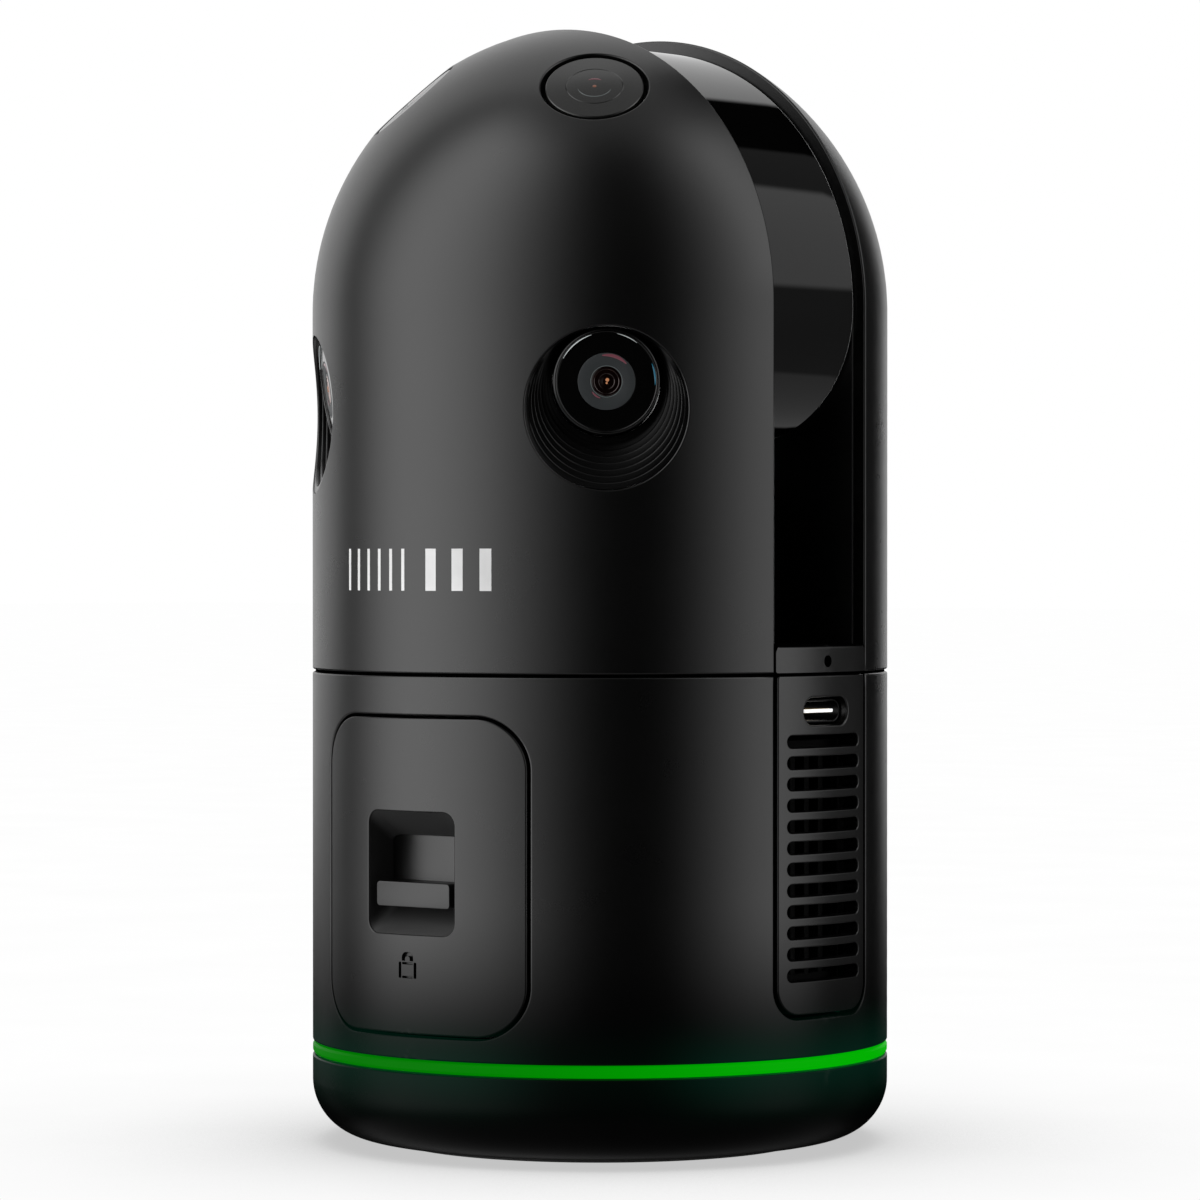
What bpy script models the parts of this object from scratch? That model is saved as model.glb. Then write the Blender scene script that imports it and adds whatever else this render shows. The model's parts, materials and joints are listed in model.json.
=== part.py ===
"""Compact terrestrial laser scanner: a pocket-sized capsule that stands on its foot.

A fixed base holds the battery, the cooling fan and the light ring. A head of two towers turns on the
base, and a mirror spins in the slot between the towers, behind a dark window that follows the dome.

Run it with blender --background --python part.py, or from Blender's text editor.
The scene is in metres. The sizes in this file are in millimetres, and MM turns one into the other.
The origin is on the ground, on the pan axis. The battery faces -Y and the vents with the port face +X.
"""

import math

import bmesh
import bpy
from mathutils import Matrix, Vector

MM = 0.001

# ---------------------------------------------------------------- driving dimensions
BODY_R = 40.0  # the base, the head and the dome share this radius
TOTAL_H = 155.0
SLOT_HALF = 10.0  # half of the slot between the two towers
SEAM_Z = 65.4  # the head turns on the base here
SEAM_GAP = 0.6
GAP = 0.3  # between two pieces that rest on each other
BASE_WALL = 2.4
HEAD_WALL = 2.0

# ---------------------------------------------------------------- heights worked out from them
DOME_Z = TOTAL_H - BODY_R  # centre of the dome and of the mirror
BASE_TOP = SEAM_Z - SEAM_GAP / 2
HEAD_BOTTOM = SEAM_Z + SEAM_GAP / 2
SLOT_FLOOR = HEAD_BOTTOM + 3.6
BASE_BORE = BODY_R - BASE_WALL
HEAD_BORE = BODY_R - HEAD_WALL

# ---------------------------------------------------------------- cutters
CUT_NEAR, CUT_FAR = 20.0, 50.0  # span of a cutter that passes through the body's wall
OVERSHOOT = 1.0  # by which a cutter runs past the face that it opens
HALF_SPACE_R, HALF_SPACE_LOW, HALF_SPACE_HIGH = 60.0, 40.0, 180.0  # a block larger than the head

# ---------------------------------------------------------------- foot
FOOT_FILLET = 8.0
COVER_Z = 0.8  # underside of the hard cover; the rubber ring stands below it
COVER_FLOOR = 2.0
RING_Z, RING_H = 12.4, 1.5
RING_GAP = 0.2
RUBBER_IN, RUBBER_OUT = 24.3, 29.0
WELL_R, WELL_WALL, WELL_TOP = 15.3, 1.6, 7.0
PLATE_FACE_Z, PLATE_BOSS_R, PLATE_FLANGE_R, PLATE_TOP = 5.0, 15.0, 17.6, 9.3
BUSH_R, THREAD_R = 5.0, 2.6  # bore of a 1/4 inch thread
SCREW_RING_R, SCREW_HEAD_R, SCREW_SHANK_R = 21.5, 1.7, 1.0
SCREW_HEAD_Z, SCREW_HEAD_H, SCREW_TOP = 1.5, 1.2, 13.4
SCREW_SOCKET_R, SCREW_SOCKET_DEPTH = 0.8, 0.7
POST_R, POST_BOTTOM = 2.8, 4.9
PAD_R, PAD_T = 3.4, 1.2  # thickening of the cover round each screw
GROOVE_DEPTH = 0.7  # seat of the rubber ring
PIN_OFFSET, PIN_R = 10.5, 1.5  # two locating holes in the tripod plate
BUSH_RISE = 0.6
CHASSIS_Z, CHASSIS_T = 14.4, 1.8
LIGHT_RING_WALL = 3.6
LED_BOARD_R, LED_BOARD_BORE, LED_BOARD_T, LED_BOARD_DROP = 35.8, 27.0, 1.2, 1.4
LED_COUNT, LED_RING_R, LED_R, LED_RISE = 8, 34.0, 1.1, 0.9

# ---------------------------------------------------------------- battery and its latch
DOOR_HALF, DOOR_LOW, DOOR_HIGH, DOOR_CORNER = 17.95, 17.1, 60.0, 7.2
DOOR_GAP = 0.35
COVER_BACK_Y = -33.0
PACK_HALF, PACK_LOW, PACK_HIGH, PACK_CORNER = 16.7, 18.2, 58.8, 6.0
PACK_FRONT_Y, PACK_REAR_Y, PACK_WALL = -32.6, 12.5, 1.2
BAY_WALL, BAY_FRONT_Y, BAY_REAR_Y, BAY_PLAY = 1.2, -32.4, 16.5, 0.4
CONTACT_HALF, CONTACT_LOW, CONTACT_HIGH = 6.5, 21.0, 27.0  # spring contacts at the bay's far end
CELL_GAP, CELL_CORNER, CELL_FRONT_Y = 0.4, 5.0, -30.0
GRIP_HALF, GRIP_LOW, GRIP_HIGH, GRIP_CORNER = 7.65, 30.7, 47.1, 1.8  # mouth of the finger recess
THROAT_HALF, THROAT_LOW, THROAT_HIGH, THROAT_CORNER = 7.4, 34.0, 43.7, 0.6  # its inner end
GRIP_LIP = 0.5  # straight part of the recess behind its mouth
LATCH_TRAVEL = 4.5
LATCH_PLATE_HALF, LATCH_STEM_HALF = 7.9, 2.8
LATCH_BACK_Y, LATCH_T = -33.4, 1.2
LATCH_BAR_HALF, LATCH_BAR_LOW, LATCH_BAR_HIGH, LATCH_BAR_Y = 6.5, 34.3, 37.6, -38.9
LATCH_BAR_CORNER, LATCH_OVERLAP = 0.5, 0.5
LATCH_PLATE_LOW, LATCH_PLATE_HIGH, LATCH_TOP = 28.4, 44.8, 58.6

# ---------------------------------------------------------------- side panels, port, button, fan
PANEL_HALF, PANEL_GAP, PANEL_LOW, PANEL_CORNER = 10.15, 0.65, 19.2, 4.4
VENT_HALF, VENT_H, VENT_PITCH, VENT_LOW = 7.8, 1.7, 2.84, 24.3
PORT_VENTS, BUTTON_VENTS = 12, 9
PORT_Z, PORT_W, PORT_H, PORT_WALL = 60.4, 8.34, 2.56, 0.3
PORT_DEPTH, PORT_RECESS, PORT_BACK_WALL = 7.5, 1.4, 1.0
PORT_FRONT, PORT_BACK = BODY_R - PORT_RECESS, BODY_R - PORT_RECESS - PORT_DEPTH
PORT_MOUTH_X, PORT_MOUTH_Z = 0.75, 0.6  # by which the panel's opening is wider and higher than the port
TONGUE_W, TONGUE_H, TONGUE_RECESS = 6.7, 0.7, 0.7
BUTTON_Z, BUTTON_R, BUTTON_TRAVEL = 56.0, 4.0, 0.7
BUTTON_RECESS, BUTTON_DEPTH = 0.5, 3.4
SWITCH_BACK_X, SWITCH_HALF, SWITCH_GAP = 30.3, 3.0, 0.3
BASE_BOARD_X, BASE_BOARD_T, BASE_BOARD_HALF = 30.0, 1.2, 16.0
BASE_BOARD_LOW, BASE_BOARD_HIGH = 20.0, 59.6
FAN_Z, FAN_X, FAN_T, FAN_HALF, FAN_CORNER = 40.0, 21.0, 6.5, 15.0, 2.5
FAN_R, FAN_HUB_R, FAN_BLADES = 13.4, 5.6, 7
FAN_TIP_GAP, FAN_FACE, FAN_INLET_STEP = 0.6, 1.0, 0.8
SPOKE_HALF, SPOKE_T = 1.0, 1.2
BLADE = ((FAN_HUB_R, 0.0), (FAN_R, 0.30), (FAN_R, 0.46), (FAN_HUB_R, 0.32), (FAN_HUB_R, 0.66))
ROTOR_BACK, ROTOR_FRONT = 1.7, 0.5  # gaps in front of and behind the rotor
SINK_X, SINK_END, SINK_HALF, SINK_SLOTS = 29.4, 35.2, 8.6, 5
SINK_LOW, SINK_HIGH, SINK_FRAME, SINK_SLOT_HALF = 23.4, 56.4, 1.6, 1.0

# ---------------------------------------------------------------- pan drive
DECK_Z, DECK_TOP, DECK_R = 60.9, 63.2, 37.3
SPIGOT_IN, SPIGOT_OUT, SPIGOT_TOP = 5.2, 9.7, 67.2
GEAR_MODULE, GEAR_TEETH, PINION_TEETH = 1.0, 40, 12
PRESSURE_ANGLE = math.radians(20)
ADDENDUM, DEDENDUM, BACKLASH = 0.72, 1.0, 0.20
GEAR_BORE, GEAR_Z, GEAR_TOP = 17.0, 63.5, 65.6
PAN_CENTRES = GEAR_MODULE * (GEAR_TEETH + PINION_TEETH) / 2
HUB_IN, HUB_OUT, HUB_BOTTOM = 15.3, 16.2, 64.1
INNER_RACE_R, OUTER_RACE_BORE, RACE_GAP, RACE_LIFT = 12.0, 12.6, 0.2, 0.7
SLIP_RING_R = SPIGOT_IN - 0.4
PINION_STEM_R, PINION_HOLE_R = 1.1, 1.6
PAN_MOTOR_R, PAN_MOTOR_H = 7.0, 15.4
HEAD_DECK_Z, HEAD_DECK_TOP, HEAD_DECK_R = 66.2, 68.2, 37.4
STRIP_END, STRIP_GAP = 34.0, 0.1  # the slot's floor hangs lower beyond this radius
INDEX_R, INDEX_DEPTH, INDEX_DROP = 0.8, 1.5, 0.4  # small blind hole in the strip's end

# ---------------------------------------------------------------- mirror, window, laser
GLASS_R, GLASS_T, GLASS_HALF = 36.9, 1.5, 9.8
GLASS_CORNER_R = 18.2
SILL_Z = DOME_Z - GLASS_CORNER_R
CHEEK_T, CHEEK_GAP = 1.8, 0.2
CHEEK_BEARING_R, CHEEK_APERTURE_R = 6.3, 7.8
PILLAR_HALF, PILLAR_SHOULDER, PILLAR_WALL, PILLAR_BORE_HALF = 16.0, 2.0, 2.0, 8.0
MIRROR_R, MIRROR_T, MIRROR_SEAT = 8.2, 1.0, 0.35
HOLDER_START_Y, HOLDER_END_Y = -8.8, 9.0
SHAFT_R, SHAFT_START_Y, SHAFT_END_Y = 1.5, -27.2, -8.0
ENCODER_R, ENCODER_Y, ENCODER_T = 8.0, -26.2, 1.0
BEARING_R, BEARING_Y, BEARING_END_Y = 6.1, -12.0, -9.9
MOTOR_R, MOTOR_Y, MOTOR_END_Y = 9.0, -12.6, -24.4
LASER_R, LASER_END_Y, LASER_GAP = 8.6, 33.0, 0.6
RECEIVER_R, RECEIVER_BULGE, RECEIVER_GAP, RECEIVER_EDGE = 7.5, 2.1, 0.3, 0.1
MAIN_BOARD_HALF, MAIN_BOARD_Y, MAIN_BOARD_T = 25.0, -16.0, 1.2
MAIN_BOARD_LOW, MAIN_BOARD_HIGH = 70.0, 90.0

# ---------------------------------------------------------------- cameras, all in the front tower
SIDE_ANGLE = math.radians(41.3)  # of the side cameras, either way from -Y
SCOOP_Z, SCOOP_R = 100.7, 10.75
LENS_Z, LENS_OUT, LENS_TILT = 104.2, 38.2, math.radians(8)
BARREL_R, BARREL_LEN, LENS_GLASS_R = 7.1, 11.0, 6.6
SKY_ANGLE, SKY_LIFT = math.radians(38.4), math.radians(48)
SKY_HOLE_R, SKY_GLASS_R, SKY_OUT = 7.3, 6.65, 39.3
SCOOP_BACK, SCOOP_RIM, SCOOP_RIM_OUT, SCOOP_FLOOR_OUT = 33.0, 0.45, 38.7, 34.4
BARREL_STEP_R, BARREL_STEP, BARREL_GAP = 5.6, 7.0, 0.3
LENS_SEAT, LENS_APERTURE_R, LENS_CONE_R, LENS_CONE = 1.4, 3.8, 2.2, 4.0
SKY_BARREL_BACK, SKY_BARREL_R, SKY_APERTURE_R, SKY_CONE_R = 31.4, 4.6, 3.4, 2.0

ROUND = 48  # sides of a large circle
SMALL = 16  # sides of a small one

MATERIALS = {
    "satin_black": ((0.030, 0.030, 0.031), 0.42, 0.35),
    "black_plastic": ((0.018, 0.018, 0.019), 0.55, 0.0),
    "soft_rubber": ((0.012, 0.012, 0.012), 0.85, 0.0),
    "ring_light": ((0.0, 0.55, 0.02), 0.40, 0.0),
    "dark_glass": ((0.010, 0.011, 0.010), 0.05, 0.0),
    "lens_glass": ((0.012, 0.012, 0.014), 0.04, 0.0),
    "mirror_silver": ((0.90, 0.90, 0.90), 0.03, 1.0),
    "aluminium": ((0.62, 0.63, 0.64), 0.35, 1.0),
    "steel": ((0.55, 0.55, 0.56), 0.28, 1.0),
    "brass": ((0.72, 0.56, 0.28), 0.30, 1.0),
    "circuit_board": ((0.02, 0.13, 0.06), 0.50, 0.0),
    "cell_wrap": ((0.10, 0.16, 0.30), 0.45, 0.0),
}


# ---------------------------------------------------------------- tools
def clear_scene():
    for obj in list(bpy.data.objects):
        bpy.data.objects.remove(obj)


def material(name):
    found = bpy.data.materials.get(name)
    if found:
        return found
    colour, roughness, metallic = MATERIALS[name]
    made = bpy.data.materials.new(name)
    made.use_nodes = True
    made.diffuse_color = (*colour, 1.0)
    shader = made.node_tree.nodes["Principled BSDF"]
    shader.inputs["Base Color"].default_value = (*colour, 1.0)
    shader.inputs["Roughness"].default_value = roughness
    shader.inputs["Metallic"].default_value = metallic
    return made


def add_object(name, bm, slot=None):
    """Turns a bmesh in millimetres into an object in metres. Without a slot it is a cutter."""
    bmesh.ops.recalc_face_normals(bm, faces=bm.faces)
    bmesh.ops.scale(bm, vec=(MM, MM, MM), verts=bm.verts)
    mesh = bpy.data.meshes.new(name)
    bm.to_mesh(mesh)
    bm.free()
    mesh.shade_smooth()
    mesh.set_sharp_from_angle(angle=math.radians(30))
    obj = bpy.data.objects.new(name, mesh)
    bpy.context.scene.collection.objects.link(obj)
    if slot:
        mesh.materials.append(material(slot))
    else:
        obj.hide_render = True
        obj.display_type = "WIRE"
    return obj


def boolean(obj, other, operation="DIFFERENCE"):
    modifier = obj.modifiers.new(other.name, "BOOLEAN")
    modifier.object = other
    modifier.operation = operation
    return obj


def cut(obj, *cutters):
    for cutter in cutters:
        boolean(obj, cutter)
    return obj


def arc(centre, radius, start, end, steps):
    """Points of an arc in a plane, both ends included. Angles are in degrees."""
    points = []
    for i in range(steps + 1):
        angle = math.radians(start + (end - start) * i / steps)
        points.append((centre[0] + radius * math.cos(angle), centre[1] + radius * math.sin(angle)))
    return points


def rounded_rectangle(half, low, high, corner, steps=6):
    """Outline, counter-clockwise: centred on the first axis, from low to high on the second."""
    points = []
    for sx, sy, start in ((1, -1, -90), (1, 1, 0), (-1, 1, 90), (-1, -1, 180)):
        centre = (sx * (half - corner), high - corner if sy > 0 else low + corner)
        points += arc(centre, corner, start, start + 90, steps)
    return points


def stadium(half, low, high, steps=6):
    return rounded_rectangle(half, low, high, (high - low) / 2 - 1e-4, steps)


def revolve(name, profile, slot=None, sides=ROUND):
    """Turns a closed (radius, height) outline round the Z axis. A radius of 0 becomes one point."""
    bm = bmesh.new()
    rings = []
    for radius, height in profile:
        if radius == 0:
            rings.append([bm.verts.new((0, 0, height))] * sides)
            continue
        ring = []
        for i in range(sides):
            angle = 2 * math.pi * i / sides
            ring.append(bm.verts.new((radius * math.cos(angle), radius * math.sin(angle), height)))
        rings.append(ring)
    for ring, above in zip(rings, rings[1:] + rings[:1]):
        for i in range(sides):
            j = (i + 1) % sides
            corners = list(dict.fromkeys((ring[i], ring[j], above[j], above[i])))
            if len(corners) > 2:
                bm.faces.new(corners)
    return add_object(name, bm, slot)


def disc(name, radius, low, high, slot=None, sides=ROUND, bore=0.0):
    if bore:
        return revolve(name, [(bore, low), (radius, low), (radius, high), (bore, high)], slot, sides)
    return revolve(name, [(0, low), (radius, low), (radius, high), (0, high)], slot, sides)


def prism(name, outline, low, high, slot=None, along="Z"):
    """Extrudes an outline. Its plane is XY for Z, XZ for Y and YZ for X."""
    place = {
        "Z": lambda a, b, c: (a, b, c),
        "Y": lambda a, b, c: (a, c, b),
        "X": lambda a, b, c: (c, a, b),
    }[along]
    bm = bmesh.new()
    bottom = [bm.verts.new(place(a, b, low)) for a, b in outline]
    top = [bm.verts.new(place(a, b, high)) for a, b in outline]
    bm.faces.new(bottom)
    bm.faces.new(top)
    for i in range(len(outline)):
        j = (i + 1) % len(outline)
        bm.faces.new((bottom[i], bottom[j], top[j], top[i]))
    return add_object(name, bm, slot)


def boxes(name, spans, slot=None):
    """One mesh of boxes, each given as (low x, high x, low y, high y, low z, high z)."""
    bm = bmesh.new()
    for x0, x1, y0, y1, z0, z1 in spans:
        size = Vector((x1 - x0, y1 - y0, z1 - z0))
        middle = Vector((x0 + x1, y0 + y1, z0 + z1)) / 2
        bmesh.ops.create_cube(bm, matrix=Matrix.Translation(middle) @ Matrix.Diagonal((*size, 1)))
    return add_object(name, bm, slot)


def cylinders(name, centres, radius, low, high, slot=None, sides=12):
    """One mesh of upright cylinders at these (x, y) centres."""
    bm = bmesh.new()
    for x, y in centres:
        matrix = Matrix.Translation((x, y, (low + high) / 2))
        bmesh.ops.create_cone(
            bm, cap_ends=True, segments=sides, radius1=radius, radius2=radius,
            depth=high - low, matrix=matrix,
        )
    return add_object(name, bm, slot)


def loft(name, circles, slot=None, sides=24):
    """Joins circles across Z into a closed tube. Each circle is (centre x, centre y, radius, z)."""
    bm = bmesh.new()
    rings = []
    for x, y, radius, z in circles:
        rings.append([
            bm.verts.new((x + radius * math.cos(a), y + radius * math.sin(a), z))
            for a in (2 * math.pi * i / sides for i in range(sides))
        ])
    for ring, above in zip(rings, rings[1:]):
        for i in range(sides):
            j = (i + 1) % sides
            bm.faces.new((ring[i], ring[j], above[j], above[i]))
    bm.faces.new(rings[0])
    bm.faces.new(rings[-1])
    return add_object(name, bm, slot)


def aim(obj, origin, direction):
    """Stands an object made along Z at origin, its Z along direction and its Y as high as it can."""
    forward = Vector(direction).normalized()
    across = Vector((0, 0, 1)).cross(forward).normalized()
    up = forward.cross(across)
    turn = Matrix((across, up, forward)).transposed().to_4x4()
    obj.matrix_world = Matrix.Translation(Vector(origin) * MM) @ turn
    return obj


def along_y(obj, z=0.0):
    """Turns an object made along Z so that its Z runs along +Y, at height z."""
    return aim(obj, (0, 0, z), (0, 1, 0))


def dome_arc(radius, steps=9):
    """The dome's outline from its equator to its pole, with a point where the slot's wall meets it."""
    rim = math.degrees(math.acos(SLOT_HALF / radius))
    return arc((0, DOME_Z), radius, 0, rim, steps) + [(0, DOME_Z + radius)]


def dome_profile(radius, bottom):
    """The outline of a solid capsule end: flat below, a half sphere about the dome centre above."""
    return [(0, bottom), (radius, bottom)] + dome_arc(radius)


def screw_centres():
    """Places of the four screws round the foot."""
    return [
        (SCREW_RING_R * math.cos(a), SCREW_RING_R * math.sin(a))
        for a in (math.radians(45 + 90 * i) for i in range(4))
    ]


def joint_empty(name, position, members):
    """An empty on a joint's axis that carries the members."""
    empty = bpy.data.objects.new(name, None)
    empty.location = Vector(position) * MM
    bpy.context.scene.collection.objects.link(empty)
    bpy.context.view_layer.update()
    for obj in members:
        world = obj.matrix_world.copy()
        obj.parent = empty
        obj.matrix_parent_inverse = empty.matrix_world.inverted()
        obj.matrix_world = world
    return empty


# ---------------------------------------------------------------- foot and light ring
def build_foot():
    outer = [(WELL_R, COVER_Z), (BODY_R - FOOT_FILLET, COVER_Z)]
    outer += arc((BODY_R - FOOT_FILLET, COVER_Z + FOOT_FILLET), FOOT_FILLET, -90, 0, 5)[1:]
    cover_top = RING_Z - RING_GAP
    inner_fillet = FOOT_FILLET - BASE_WALL
    inner = [(BODY_R, cover_top), (BASE_BORE, cover_top)]
    inner += arc((BODY_R - FOOT_FILLET, COVER_Z + FOOT_FILLET), inner_fillet, 0, -90, 2)
    well_out = WELL_R + WELL_WALL
    inner += [(well_out, COVER_Z + BASE_WALL), (well_out, WELL_TOP), (WELL_R, WELL_TOP)]
    cover = revolve("bottom_cover", outer + inner, "satin_black")
    centres = screw_centres()
    seat_top = SCREW_HEAD_Z + SCREW_HEAD_H + 0.2
    pads = cylinders("cut_pads", centres, PAD_R, COVER_Z + PAD_T, POST_BOTTOM - GAP)
    boolean(cover, pads, "UNION")
    below = COVER_Z - OVERSHOOT
    groove = disc(
        "cut_groove", RUBBER_OUT + GAP, below, COVER_Z + GROOVE_DEPTH, bore=RUBBER_IN - GAP,
    )
    heads = cylinders("cut_heads", centres, SCREW_HEAD_R + 0.4, below, seat_top)
    holes = cylinders(
        "cut_holes", centres, SCREW_SHANK_R + GAP, below - OVERSHOOT, POST_BOTTOM + OVERSHOOT,
    )
    cut(cover, groove, heads, holes)

    rubber_top = COVER_Z + GROOVE_DEPTH - GAP
    disc("foot_ring", RUBBER_OUT, 0.0, rubber_top, "soft_rubber", bore=RUBBER_IN)
    ring_in = BODY_R - LIGHT_RING_WALL
    disc("light_ring", BODY_R, RING_Z, RING_Z + RING_H, "ring_light", bore=ring_in)

    plate = revolve("tripod_plate", [
        (BUSH_R + GAP, PLATE_FACE_Z), (PLATE_BOSS_R, PLATE_FACE_Z), (PLATE_BOSS_R, WELL_TOP + GAP),
        (PLATE_FLANGE_R, WELL_TOP + GAP), (PLATE_FLANGE_R, PLATE_TOP), (BUSH_R + GAP, PLATE_TOP),
    ], "steel", sides=32)
    pins = [(-PIN_OFFSET, 0), (PIN_OFFSET, 0)]
    cut(plate, cylinders(
        "cut_plate_pins", pins, PIN_R, PLATE_FACE_Z - OVERSHOOT, PLATE_TOP + OVERSHOOT,
    ))
    bush_top = PLATE_TOP + BUSH_RISE
    disc("tripod_bush", BUSH_R, PLATE_FACE_Z + GAP, bush_top, "brass", SMALL, bore=THREAD_R)

    socket, head_top = SCREW_HEAD_Z + SCREW_SOCKET_DEPTH, SCREW_HEAD_Z + SCREW_HEAD_H
    screw = [
        (0, socket), (SCREW_SOCKET_R, socket), (SCREW_SOCKET_R, SCREW_HEAD_Z),
        (SCREW_HEAD_R, SCREW_HEAD_Z), (SCREW_HEAD_R, head_top),
        (SCREW_SHANK_R, head_top), (SCREW_SHANK_R, SCREW_TOP), (0, SCREW_TOP),
    ]
    for i, (x, y) in enumerate(centres, 1):
        made = revolve(f"bottom_screw_{i}", screw, "steel", sides=12)
        made.location = Vector((x, y, 0)) * MM

    board_top = RING_Z - LED_BOARD_DROP
    board = disc(
        "led_board", LED_BOARD_R, board_top - LED_BOARD_T, board_top, "circuit_board",
        bore=LED_BOARD_BORE,
    )
    step = 2 * math.pi / LED_COUNT
    leds = [
        (LED_RING_R * math.cos(a), LED_RING_R * math.sin(a))
        for a in (step * (i + 0.5) for i in range(LED_COUNT))
    ]
    lights = cylinders(
        "join_leds", leds, LED_R, board_top - LED_BOARD_T / 2, board_top + LED_RISE, sides=6,
    )
    boolean(board, lights, "UNION")

    chassis = disc(
        "base_chassis", BASE_BORE - GAP, CHASSIS_Z, CHASSIS_Z + CHASSIS_T, "black_plastic",
    )
    posts = cylinders("join_posts", centres, POST_R, POST_BOTTOM, CHASSIS_Z + 0.5)
    boolean(chassis, posts, "UNION")
    cut(chassis, cylinders(
        "cut_pilots", centres, SCREW_SHANK_R + 0.2, POST_BOTTOM - OVERSHOOT, SCREW_TOP + GAP,
    ))


# ---------------------------------------------------------------- base housing and its panels
def door_outline(grow):
    """The battery door's outline, grown outwards by this much."""
    return rounded_rectangle(DOOR_HALF + grow, DOOR_LOW - grow, DOOR_HIGH + grow, DOOR_CORNER + grow)


def panel_outline(grow):
    """A side panel's outline: rounded below, square at the seam above."""
    corner = PANEL_CORNER + grow
    half, low = PANEL_HALF + grow, PANEL_LOW - grow
    points = arc((-half + corner, low + corner), corner, 180, 270, 5)
    points += arc((half - corner, low + corner), corner, 270, 360, 5)
    return points + [(half, BASE_TOP), (-half, BASE_TOP)]


def vent_cutter(name, count, x0, x1):
    """A stack of slots with round ends."""
    bm = bmesh.new()
    for row in range(count):
        middle = VENT_LOW + VENT_PITCH * row
        outline = stadium(VENT_HALF, middle - VENT_H / 2, middle + VENT_H / 2, 2)
        ends = [[bm.verts.new((x, y, z)) for y, z in outline] for x in (x0, x1)]
        bm.faces.new(ends[0])
        bm.faces.new(ends[1])
        for i in range(len(outline)):
            j = (i + 1) % len(outline)
            bm.faces.new((ends[0][i], ends[0][j], ends[1][j], ends[1][i]))
    return add_object(name, bm)


def build_housing():
    bottom = RING_Z + RING_H + RING_GAP
    housing = disc("base_housing", BODY_R, bottom, BASE_TOP, "satin_black", bore=BASE_BORE)
    door = prism("cut_door", door_outline(0), -CUT_FAR, -CUT_NEAR, along="Y")
    sides = panel_outline(0)
    sides[-2:] = [(PANEL_HALF, BASE_TOP + OVERSHOOT), (-PANEL_HALF, BASE_TOP + OVERSHOOT)]
    cut(
        housing, door,
        prism("cut_port_side", sides, CUT_NEAR, CUT_FAR, along="X"),
        prism("cut_button_side", sides, -CUT_FAR, -CUT_NEAR, along="X"),
    )

    low, high = PANEL_LOW - OVERSHOOT, BASE_TOP + OVERSHOOT
    for name, sign, count in (("vent_panel", 1, PORT_VENTS), ("button_panel", -1, BUTTON_VENTS)):
        panel = disc(name, BODY_R, low, high, "satin_black", bore=BASE_BORE + 0.2)
        spans = sorted((sign * CUT_NEAR, sign * CUT_FAR))
        keep = prism("keep_" + name, panel_outline(-PANEL_GAP), *spans, along="X")
        boolean(panel, keep, "INTERSECT")
        cut(panel, vent_cutter("cut_" + name, count, *spans))
    half_h = PORT_H / 2 + PORT_MOUTH_Z
    mouth = stadium(PORT_W / 2 + PORT_MOUTH_X, PORT_Z - half_h, PORT_Z + half_h, 5)
    cut(bpy.data.objects["vent_panel"], prism("cut_port", mouth, CUT_NEAR, CUT_FAR, along="X"))
    ring = arc((0, BUTTON_Z), BUTTON_R + GAP, 0, 360, SMALL)[:-1]
    cut(bpy.data.objects["button_panel"], prism("cut_button", ring, -CUT_FAR, -CUT_NEAR, along="X"))


def build_port():
    """USB-C receptacle: a thin steel shell, closed behind, with its tongue."""
    low, high = PORT_Z - PORT_H / 2, PORT_Z + PORT_H / 2
    shell = prism(
        "usb_port", stadium(PORT_W / 2 + PORT_WALL, low - PORT_WALL, high + PORT_WALL, 5),
        PORT_BACK, PORT_FRONT, "steel", "X",
    )
    inside = prism(
        "cut_port_inside", stadium(PORT_W / 2, low, high, 5),
        PORT_BACK + PORT_BACK_WALL, PORT_FRONT + OVERSHOOT, along="X",
    )
    cut(shell, inside)
    half = TONGUE_H / 2
    tongue = boxes("join_tongue", [(
        PORT_BACK + PORT_BACK_WALL / 2, PORT_FRONT - TONGUE_RECESS,
        -TONGUE_W / 2, TONGUE_W / 2, PORT_Z - half, PORT_Z + half,
    )])
    boolean(shell, tongue, "UNION")


def build_button():
    """The power button, a dished cap that stands in the -X panel, and the switch that it presses."""
    face = BODY_R - BUTTON_RECESS
    back = face - BUTTON_DEPTH
    cap = revolve("power_button", [
        (0, face - 0.35), (1.6, face - 0.3), (3.0, face - 0.1), (BUTTON_R - 0.3, face),
        (BUTTON_R, face - 0.3), (BUTTON_R, back), (0, back),
    ], "black_plastic", SMALL)
    aim(cap, (0, 0, BUTTON_Z), (-1, 0, 0))
    joint_empty("power_button_axis", (-BODY_R, 0, BUTTON_Z), [cap])
    boxes("power_switch", [(
        BUTTON_TRAVEL + SWITCH_GAP - back, -SWITCH_BACK_X, -SWITCH_HALF, SWITCH_HALF,
        BUTTON_Z - SWITCH_HALF, BUTTON_Z + SWITCH_HALF,
    )], "black_plastic")
    boxes("base_board", [(
        -BASE_BOARD_X, BASE_BOARD_T - BASE_BOARD_X, -BASE_BOARD_HALF, BASE_BOARD_HALF,
        BASE_BOARD_LOW, BASE_BOARD_HIGH,
    )], "circuit_board")


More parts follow.
